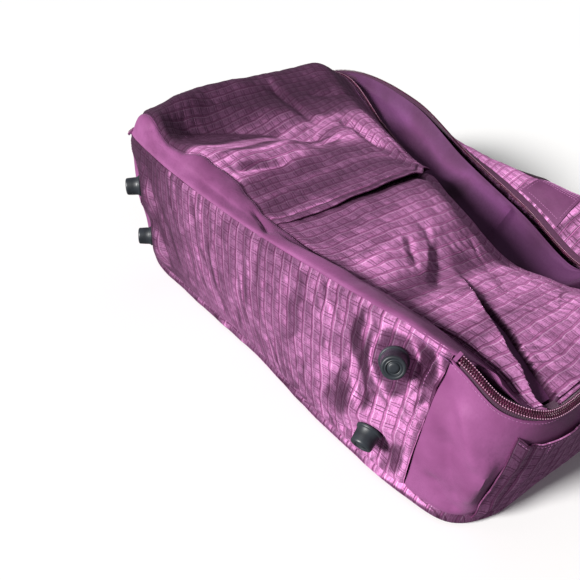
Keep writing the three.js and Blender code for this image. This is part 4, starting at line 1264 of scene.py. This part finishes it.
def loose_sheet(station, share):
    """Lining that hangs from the open rim, runs under the lid's lip and back to the floor."""
    rim = at(RIM, station)
    lip = at(LID_RIM, station)
    in_way = inward(LID_RIM, station)
    crease = smooth((station - 12.7) / 0.6) * smooth((15.2 - station) / 0.5)
    first = mix(rim, lip, 0.06) - (0, 0, 2.5)
    fall = np.zeros_like(rim)
    fall[..., 2] = -(7 + 9 * crease)
    second = mix(rim, lip, (0.16 + 0.1 * crease)[..., None]) + fall
    under = lip + in_way * 3 - (0, 0, 9.0)
    third = mix(second, under, 0.55) - (0, 0, 4.0)
    fourth = under + in_way * 9 - (0, 0, 5.0)
    low = fourth + in_way * 6
    low[..., 2] = np.minimum(16, fourth[..., 2] * 0.4)
    floor = wall(station, 0.03)
    floor[..., 2] = 4.5
    points = [2 * first - second, first, second, third, under, fourth, low, floor,
              2 * floor - low]
    places = [0.0, 0.12, 0.42, 0.6, 0.68, 0.82, 1.0]
    out = np.zeros(np.broadcast(station, share).shape + (3,))
    down = 1 - share
    for k in range(6):
        t = (down - places[k]) / (places[k + 1] - places[k])
        pick = (t >= 0) & (t <= 1) if k < 5 else (t >= 0)
        t = np.clip(t, 0, 1)[..., None]
        a, b, c, d = points[k:k + 4]
        curve = b + 0.5 * t * (c - a + t * (2 * a - 5 * b + 4 * c - d
                                            + t * (3 * (b - c) + d - a)))
        out = np.where(pick[..., None], curve, out)
    return out


def lining_wall():
    """Lining of the walls: sewn down on three sides, loose behind the open mouth."""
    stations = spread(RIM, BASE_END, COUNT, 320)[:, None]
    share = np.linspace(0, 1, 76)[None]
    up = 0.03 + (rim_stop(stations, BODY_TAPE + 1) - 0.03) * share
    grid = wall(stations, up)
    around = distances(grid, 0)[:, None] + 0 * share
    depth = mix(9.0, 2.6, smooth((share - 0.8) / 0.2))
    loose = np.sin(np.pi * share) ** 0.7
    height = wall_relief(grid, 0.6) * 0.7 - depth
    height += loose * (4.0 * value_noise(around / 60, grid[..., 2] / 44, 101)
                       + ripples(around, grid[..., 2], 103, 22, 2.6, 1.6))
    fixed = raised(grid, np.minimum(height, -2.2))
    sheet = loose_sheet(stations + 0 * share, share + 0 * stations)
    creases = 1.6 * value_noise(around / 34, share * 4, 121)
    creases += ripples(around, share * 60, 123, 13, 3.0, 0.7)
    creases += -6 * np.exp(-((around - 0.46 * around[-1, 0]) / 5.0) ** 2)
    sheet = raised(sheet, creases * smooth((1 - share) / 0.12) * smooth(share / 0.3))
    loosened = smooth((stations - OPEN_FROM) / 0.8) * smooth((OPEN_TO + 0.5 - stations) / 0.7)
    return mix(fixed, sheet, (loosened + 0 * share)[..., None])


def lining_base():
    """Lining over the stiffener of the base panel."""
    share = np.linspace(0, 1, 150)[:, None]
    rows = np.linspace(0, 1, 44)[None]
    grid = base(share, 0.04 + 0.95 * rows)
    x, z = grid[..., 0], grid[..., 2]
    depth = mix(mix(3.0, 12.5, smooth(rows / 0.1)), 3.0, smooth((rows - 0.92) / 0.08))
    height = -depth + np.sin(np.pi * rows) * ripples(x, z, 105, 24, 2.6, 1.4)
    return raised(grid, np.minimum(height, -2.4))


def lining_back():
    """Lining on the inside of the back panel, lying loose over it."""
    stations = spread(FLOOR, 0, COUNT, 240)[:-1]
    edge = wall(stations, 0.035)
    edge = edge - outward(edge) * 9.5
    rows = [mix(np.array([10.0, 0.0, 4.4]), edge, k / 26) for k in range(1, 27)]
    grid = np.stack(rows, 1)
    x, y = grid[..., 0], grid[..., 1]
    share = np.linspace(1 / 26, 1, 26)[None]
    loose = 2.4 * value_noise(x / 52, y / 44, 107) + ripples(x, y, 108, 26, 2.2, 1.4)
    grid[..., 2] = 4.6 + 2.6 * smooth((share - 0.9) / 0.1)
    grid[..., 2] += np.maximum(loose, -0.6) * (1 - share ** 6)
    return grid


def lining_shade():
    """Shade painted on the lining: darker all over, a painted highlight where it turns over the
    rim, a painted shadow in its long fold.
    """
    stations = spread(RIM, BASE_END, COUNT, 320)[:, None]
    share = np.linspace(0, 1, 76)[None]
    # painted highlight where the lining turns over the rim
    band = np.exp(-((share - 0.86) / 0.07) ** 2)
    band = band * smooth((stations - 11.6) / 0.7) * smooth((14.4 - stations) / 0.5)
    # painted shadow down the lining's long fold
    wedge = np.exp(-((stations - 13.2 + 0.5 * share) / 0.16) ** 2) * smooth((0.8 - share) / 0.2)
    return np.clip(0.42 - 0.42 * band + 0.35 * wedge, 0, 0.9)


cloth("wall_lining_cloth", lining_wall(), LINING_CLOTH, LINING, "bag_body", "lining",
      "wall_lining", lining_shade())
cloth("base_lining_cloth", lining_base(), LINING_CLOTH, LINING, "bag_body", "lining",
      "base_lining")
placed(round_shell("back_lining_cloth", lining_back(), LINING_CLOTH, LINING), "bag_body",
       "lining", "back_lining")

# -------------------------------------------------------------------------- zip

ZIP_START = BASE_END + 0.12
ZIP_END = COUNT - 0.12
TOOTH_PITCH = 2.0
TOOTH_LENGTH = 3.3
TOOTH_RADIUS = 0.78
CORE_WIDE = 2.2
CORE_TALL = 1.3
TAPE_DEPTHS = np.array([1.2, 1.9, 2.4, 2.8])    # how deep the tape's hidden rows lie


def zip_frame(table, station, on_lid):
    """Place, side and normal of one half of the zip; side points away from the gap."""
    station = np.asarray(station, float)
    tangent = unit(at(table, station + 0.02) - at(table, station - 0.02))
    climb = unit(at(RIM, station) - wall(station, 0.92))
    across = inward(LID_RIM, station)
    gap = np.linalg.norm(at(RIM, station) - at(LID_RIM, station), axis=-1, keepdims=True)
    apart = smooth(gap / 10)
    aim = across + climb * (1 - apart) if on_lid else climb + across * (1 - apart)
    side = unit(aim - tangent * np.sum(aim * tangent, -1, keepdims=True))
    return at(table, station), side, unit(np.cross(tangent, side)), tangent


def coil(name, table, on_lid, body, node):
    """One half of the coil: its teeth, its core and the stitches that hold it."""
    run = at(table, np.linspace(ZIP_START, ZIP_END, 2000))
    count = int(np.linalg.norm(np.diff(run, axis=0), axis=1).sum() / TOOTH_PITCH)
    stations = spread(table, ZIP_START, ZIP_END, count)
    if not on_lid:
        stations = stations[:-1] + np.diff(stations) / 2
    place, side, normal, tangent = zip_frame(table, stations, on_lid)
    way = side if on_lid else -side
    gap = np.linalg.norm(at(RIM, stations) - at(LID_RIM, stations), axis=-1, keepdims=True)
    bite = 0.5 * (1 - smooth(gap / 6))
    teeth = beads(place + way * (1.25 - bite) + normal * 1.25, way, normal, TOOTH_LENGTH,
                  TOOTH_RADIUS, 1.25)
    fine = spread(table, ZIP_START, ZIP_END, 420)
    cord_place, cord_side, cord_normal, _ = zip_frame(table, fine, on_lid)
    cord_way = cord_side if on_lid else -cord_side
    core = bar_part(cord_place + cord_way * CORE_WIDE, cord_way, cord_normal, CORE_WIDE, CORE_TALL,
                    0.0, 0.5)
    strip(name, [teeth, core], COIL, body, node, slot="zip_coil")
    dots = beads(place + way * 2.75 + normal * 1.75, tangent, normal, 1.25, 0.42)
    strip(name + "_stitches", [dots], COIL_THREAD, body, slot="zip_tape")


def tape_grid(on_lid):
    """Rows of one half of the tape, from the coil to under the cloth that holds it."""
    table = LID_RIM if on_lid else RIM
    stations = spread(table, BASE_END + 0.14, COUNT - 0.14, 420)
    place, side, normal, _ = zip_frame(table, stations, on_lid)
    way = side if on_lid else -side
    start = place + way * 0.9 + normal * 0.15
    if on_lid:
        grid = lid_strip(stations)
    else:
        steps = np.array([BODY_TAPE - 1.5, BODY_TAPE, BODY_TAPE + 2.0, BODY_TAPE + 5.0])
        grid = wall(stations[:, None], rim_stop(stations[:, None], steps[None]))
    normals = grid_normals(grid)
    normals = normals * np.sign(np.sum(normals * normal[:, None], -1, keepdims=True))
    inner = grid - normals * TAPE_DEPTHS[None, :, None]
    near_rows = [mix(start, inner[:, 0], share) for share in (0, 0.35, 0.7)]
    full = np.concatenate([np.stack(near_rows, 1), inner], 1)
    return full if on_lid else full[:, ::-1]


def lid_strip(stations):
    """Rows of places just inside the lid cloth's edge, for the hidden part of its tape."""
    place = np.zeros((len(stations), 2))
    near = stations < NEAR_TOP
    far = stations > FAR_TOP
    lip = ~near & ~far
    steps = np.linspace(0, 1, SIDE_STEPS + 1)
    place[near, 0] = 1
    place[near, 1] = np.interp(stations[near], NEAR_STATIONS, steps)
    place[far, 1] = np.interp(-stations[far], -FAR_STATIONS, steps)
    place[lip, 0] = np.interp(-stations[lip], -LIP_STATIONS, steps)
    place[lip, 1] = 1
    way = 0.5 - place
    here = lid(place[:, 0], place[:, 1])
    ahead = lid(*(place + way * 0.02).T)
    scale = 0.02 / np.linalg.norm(ahead - here, axis=1)
    rows = []
    for inside in (-1.0, 0.6, 2.5, 5.5):
        moved = place + way * (scale * max(inside, 0.0))[:, None]
        point = lid(moved[:, 0], moved[:, 1])
        if inside < 0:
            point = point - inward(LID_RIM, stations) * 1.0
        rows.append(point)
    return np.stack(rows, 1)


coil("lid_coil_teeth", LID_RIM, True, "lid_cloth", "lid_coil")
coil("gusset_coil_teeth", RIM, False, "bag_body", "gusset_coil")
cloth("lid_tape_cloth", tape_grid(True), 0.5, TAPE, "lid_cloth", "zip_tape", "lid_tape")
cloth("gusset_tape_cloth", tape_grid(False), 0.5, TAPE, "bag_body", "zip_tape", "gusset_tape")

# ------------------------------------------------------------------------- feet

FOOT_PROFILE = [(0, 9.5), (2.4, 9.5), (2.4, 0.0), (11.2, 0.0), (12.0, 0.5), (12.0, 2.2),
                (11.5, 2.9), (10.9, 3.1), (10.7, 3.5), (10.55, 4.4), (10.35, 4.7), (10.2, 9.0),
                (9.9, 14.6), (9.7, 16.0), (9.1, 16.8), (8.3, 17.1), (7.5, 17.0), (7.1, 16.7),
                (6.5, 16.7), (6.1, 17.0), (5.7, 16.6), (5.4, 15.9), (4.9, 15.7), (4.4, 15.9),
                (4.1, 16.5), (3.6, 16.9), (2.2, 17.1), (0, 17.15)]
FOOT_LIFT = 0.8


def lathe(profile, sides):
    """A closed turned solid about Z, with single points where the profile meets it."""
    verts, rings = [], []
    for r, z in profile:
        if r == 0:
            rings.append([len(verts)] * sides)
            verts.append((0, 0, z))
            continue
        rings.append(list(range(len(verts), len(verts) + sides)))
        for k in range(sides):
            turn = 2 * math.pi * k / sides
            verts.append((r * math.cos(turn), r * math.sin(turn), z))
    faces = []
    for low, high in zip(rings, rings[1:]):
        for k in range(sides):
            m = (k + 1) % sides
            faces.append(list(dict.fromkeys([low[k], low[m], high[m], high[k]])))
    return np.array(verts, float), faces


for foot_name, foot_axis in FOOT_AXES.items():
    foot_verts, foot_faces = lathe(FOOT_PROFILE, 56)
    foot_turn = Vector((0, 0, 1)).rotation_difference(Vector(foot_axis)).to_matrix()
    foot_verts = foot_verts @ np.array(foot_turn).T
    foot_verts = foot_verts + FOOT_CENTRES[foot_name] + foot_axis * FOOT_LIFT
    placed(mesh_object(foot_name + "_stud", foot_verts, foot_faces, material=RUBBER, sharp=50),
           "bag_body", "rubber", foot_name)


def softened(node, material, body, slot, width=0.35):
    """A CAD piece with its edges rounded and a better finish."""
    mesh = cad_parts[node].data.copy()
    mesh.materials.clear()
    mesh.materials.append(material)
    piece = bpy.data.objects.new(node + "_finished", mesh)
    bpy.context.scene.collection.objects.link(piece)
    bevel = piece.modifiers.new("edges", "BEVEL")
    bevel.width = width * MM
    bevel.segments = 3
    bevel.limit_method = "ANGLE"
    bevel.angle_limit = math.radians(35)
    depsgraph = bpy.context.evaluated_depsgraph_get()
    final = bpy.data.meshes.new_from_object(piece.evaluated_get(depsgraph))
    piece.modifiers.clear()
    piece.data = final
    final.polygons.foreach_set("use_smooth", [True] * len(final.polygons))
    final.set_sharp_from_angle(angle=math.radians(40))
    placed(piece, body, slot, node)


for end in ("near", "far"):
    softened(f"{end}_slider", ENAMEL, f"{end}_slider_body", "zip_metal")
    softened(f"{end}_pull", ENAMEL, f"{end}_pull_body", "zip_metal")
    softened(f"{end}_zip_stop", STOP, "bag_body", "zip_metal")
for suffix in ("far_front", "far_back", "near_front", "near_back"):
    softened(f"washer_{suffix}", STEEL, "bag_body", "screw_steel", 0.2)
    softened(f"screw_{suffix}", STEEL, "bag_body", "screw_steel", 0.25)
STIFFENER_DEPTH = 3.6
STIFFENER_THICK = 1.4
stiffener_grid = base(np.linspace(0.03, 0.97, 160)[:, None], np.linspace(0.12, 0.93, 60)[None])
stiffener_grid = stiffener_grid - grid_normals(stiffener_grid) * STIFFENER_DEPTH
cloth("base_stiffener_sheet", stiffener_grid, STIFFENER_THICK, SHEET, "bag_body",
      "stiffener", "base_stiffener")

# ----------------------------------------------------------------------- handle

HANDLE_PATH = [(112, 222, 99.5), (100, 222.5, 101), (86, 223.5, 104), (73, 224, 103),
               (56, 225.5, 101.5), (38, 229, 98.5), (18, 234, 92), (-5, 238.5, 84),
               (-28, 239, 81), (-50, 235, 84), (-72, 227, 91), (-92, 218.5, 98),
               (-112, 212, 103)]
WEB_WIDTH = 24.0
WEB_THICK = 2.5
WEB_CORNER = 0.9
WEB_CUP = 0.4
WIDTH_WAY = unit(np.array([0.02, 0.12, 0.99]))


handle_path = open_curve(HANDLE_PATH, 150)
handle_way = unit(np.gradient(handle_path, axis=0))
handle_side = unit(WIDTH_WAY - handle_way * (handle_way @ WIDTH_WAY)[:, None])
handle_normal = unit(np.cross(handle_way, handle_side))
handle_verts, handle_faces = bar_part(handle_path, handle_side, handle_normal, WEB_WIDTH,
                                      WEB_THICK, -WEB_THICK / 2, WEB_CORNER, WEB_CUP)
ring = len(handle_verts) // len(handle_path)
walked = np.repeat(np.linspace(0, 1, len(handle_path)) * 300, ring)
crosswise = np.tile(np.linspace(0, 1, ring) * 50, len(handle_path))
handle = mesh_object("carry_handle_webbing", handle_verts, handle_faces.tolist(),
                     np.stack([walked, crosswise], 1), None, WEBBING, sharp=60)
placed(handle, "handle", "webbing", "carry_handle")


ANCHOR_LOW = 0.42
ANCHOR_HIGH = 0.985


def anchor(name, node, start, end):
    """Cloth patch that holds one end of the webbing, with its rows of stitches."""
    stations = spread(RIM, start, end, 36)[:, None]
    share = np.linspace(0, 1, 40)[None]
    length = np.linspace(0, 1, 37)[:, None]
    centre = stations[18, 0]
    stations = centre + (stations - centre) * mix(0.74, 1.0, share)
    up = (ANCHOR_LOW + (ANCHOR_HIGH - ANCHOR_LOW) * share) * rim_stop(stations, BODY_TAPE)
    grid = wall(stations, up)
    pucker = 0.3 * value_noise(length * 9 + 0 * share, share * 9 + 0 * length, 111)
    grid = raised(grid, wall_relief(grid) + 1.6 + pucker)
    cloth(name + "_cloth", grid, 1.0, PATCH_IN_PAINTED_SHADE, "bag_body", "plain_cloth", node)
    normals = grid_normals(grid)
    rows = [stitch_row(grid[2:-2, j], normals[2:-2, j]) for j in (2, 14, 24, 37)]
    rows += [stitch_row(grid[i, 2:-2], normals[i, 2:-2]) for i in (2, -3)]
    k = np.arange(60)
    zigzag = 3 + abs(k % 12 - 6) * 5, 14 + k // 12 * 2
    rows.append(stitch_row(grid[zigzag], normals[zigzag]))
    strip(name + "_stitches", rows, THREAD, "bag_body", slot="plain_cloth")


anchor("near_anchor", "near_handle_anchor", 11.55, 12.2)
anchor("far_anchor", "far_handle_anchor", 13.7, 14.15)

# --------------------------------------------------------------------- stitches


def grid_line(grid, across=None, up=None):
    """A row or a column of a cloth, with its normals."""
    normals = grid_normals(grid)
    if across is not None:
        i = int(round(across * (grid.shape[0] - 1)))
        return grid[i], normals[i]
    j = int(round(up * (grid.shape[1] - 1)))
    return grid[:, j], normals[:, j]


seam_rows = [stitch_row(*grid_line(base_grid, across=share)) for share in (0.985, 0.012)]
seam_rows += [stitch_row(*grid_line(grid, up=0.985), pitch=3.0)
              for grid in (near_grid, top_grid, far_grid)]
for hem_place in ({"up": 0.97}, {"across": 0.105}):
    seam_rows += [stitch_row(*grid_line(grid, **hem_place))
                  for grid in (near_pocket_grid, far_pocket_grid)]
strip("body_stitches", seam_rows, THREAD, "bag_body", slot="plain_cloth")
lid_rows = [stitch_row(*grid_line(band_grid, up=0.93), pitch=3.0),
            stitch_row(*grid_line(pocket_grid, across=0.012), pitch=3.0),
            stitch_row(*grid_line(panel_grid, up=0.985), pitch=3.0)]
strip("lid_stitches", lid_rows, DARK_THREAD, "lid_cloth", slot="plain_cloth")

# ------------------------------------------------------------ floor and lighting


FLOOR_HALF = 60.0              # metres


def make_stage():
    """A plain pale floor just under the bag, which throws no colour back on it."""
    mesh = bpy.data.meshes.new("floor")
    s = FLOOR_HALF
    mesh.from_pydata([(-s, -s, 0), (s, -s, 0), (s, s, 0), (-s, s, 0)], [], [(0, 1, 2, 3)])
    n = Nodes("floor_paint", 0.9, specular=0.1)
    shade = n.noise(n.place(uv=False), 0.002, 2.0)
    mesh.materials.append(n.done(n.mix(shade, (0.9, 0.9, 0.9, 1), (0.88, 0.88, 0.88, 1))))
    floor = bpy.data.objects.new("floor", mesh)
    floor.location.z = -0.0005
    bpy.context.scene.collection.objects.link(floor)
    floor.visible_diffuse = False
    floor.visible_glossy = False


KEY_WAY = Vector((-0.14, -0.84, 0.5))
KEY_ENERGY = 5.9
KEY_ANGLE = math.radians(16.0)
WORLD_STRENGTH = 0.22


def make_light():
    """One broad soft light from above the base, as in the photo."""
    data = bpy.data.lights.new("key", "SUN")
    data.energy = KEY_ENERGY
    data.angle = KEY_ANGLE
    data.color = (1.0, 0.985, 0.97)
    lamp = bpy.data.objects.new("key", data)
    lamp.rotation_euler = KEY_WAY.to_track_quat("Z", "Y").to_euler()
    bpy.context.scene.collection.objects.link(lamp)


make_stage()
make_light()
world = bpy.data.worlds.new("studio")
world.use_nodes = True
sky = world.node_tree.nodes["Background"]
sky.inputs["Color"].default_value = (0.97, 0.98, 1.0, 1)
sky.inputs["Strength"].default_value = WORLD_STRENGTH
bpy.context.scene.world = world
bpy.context.scene.view_settings.view_transform = "Standard"
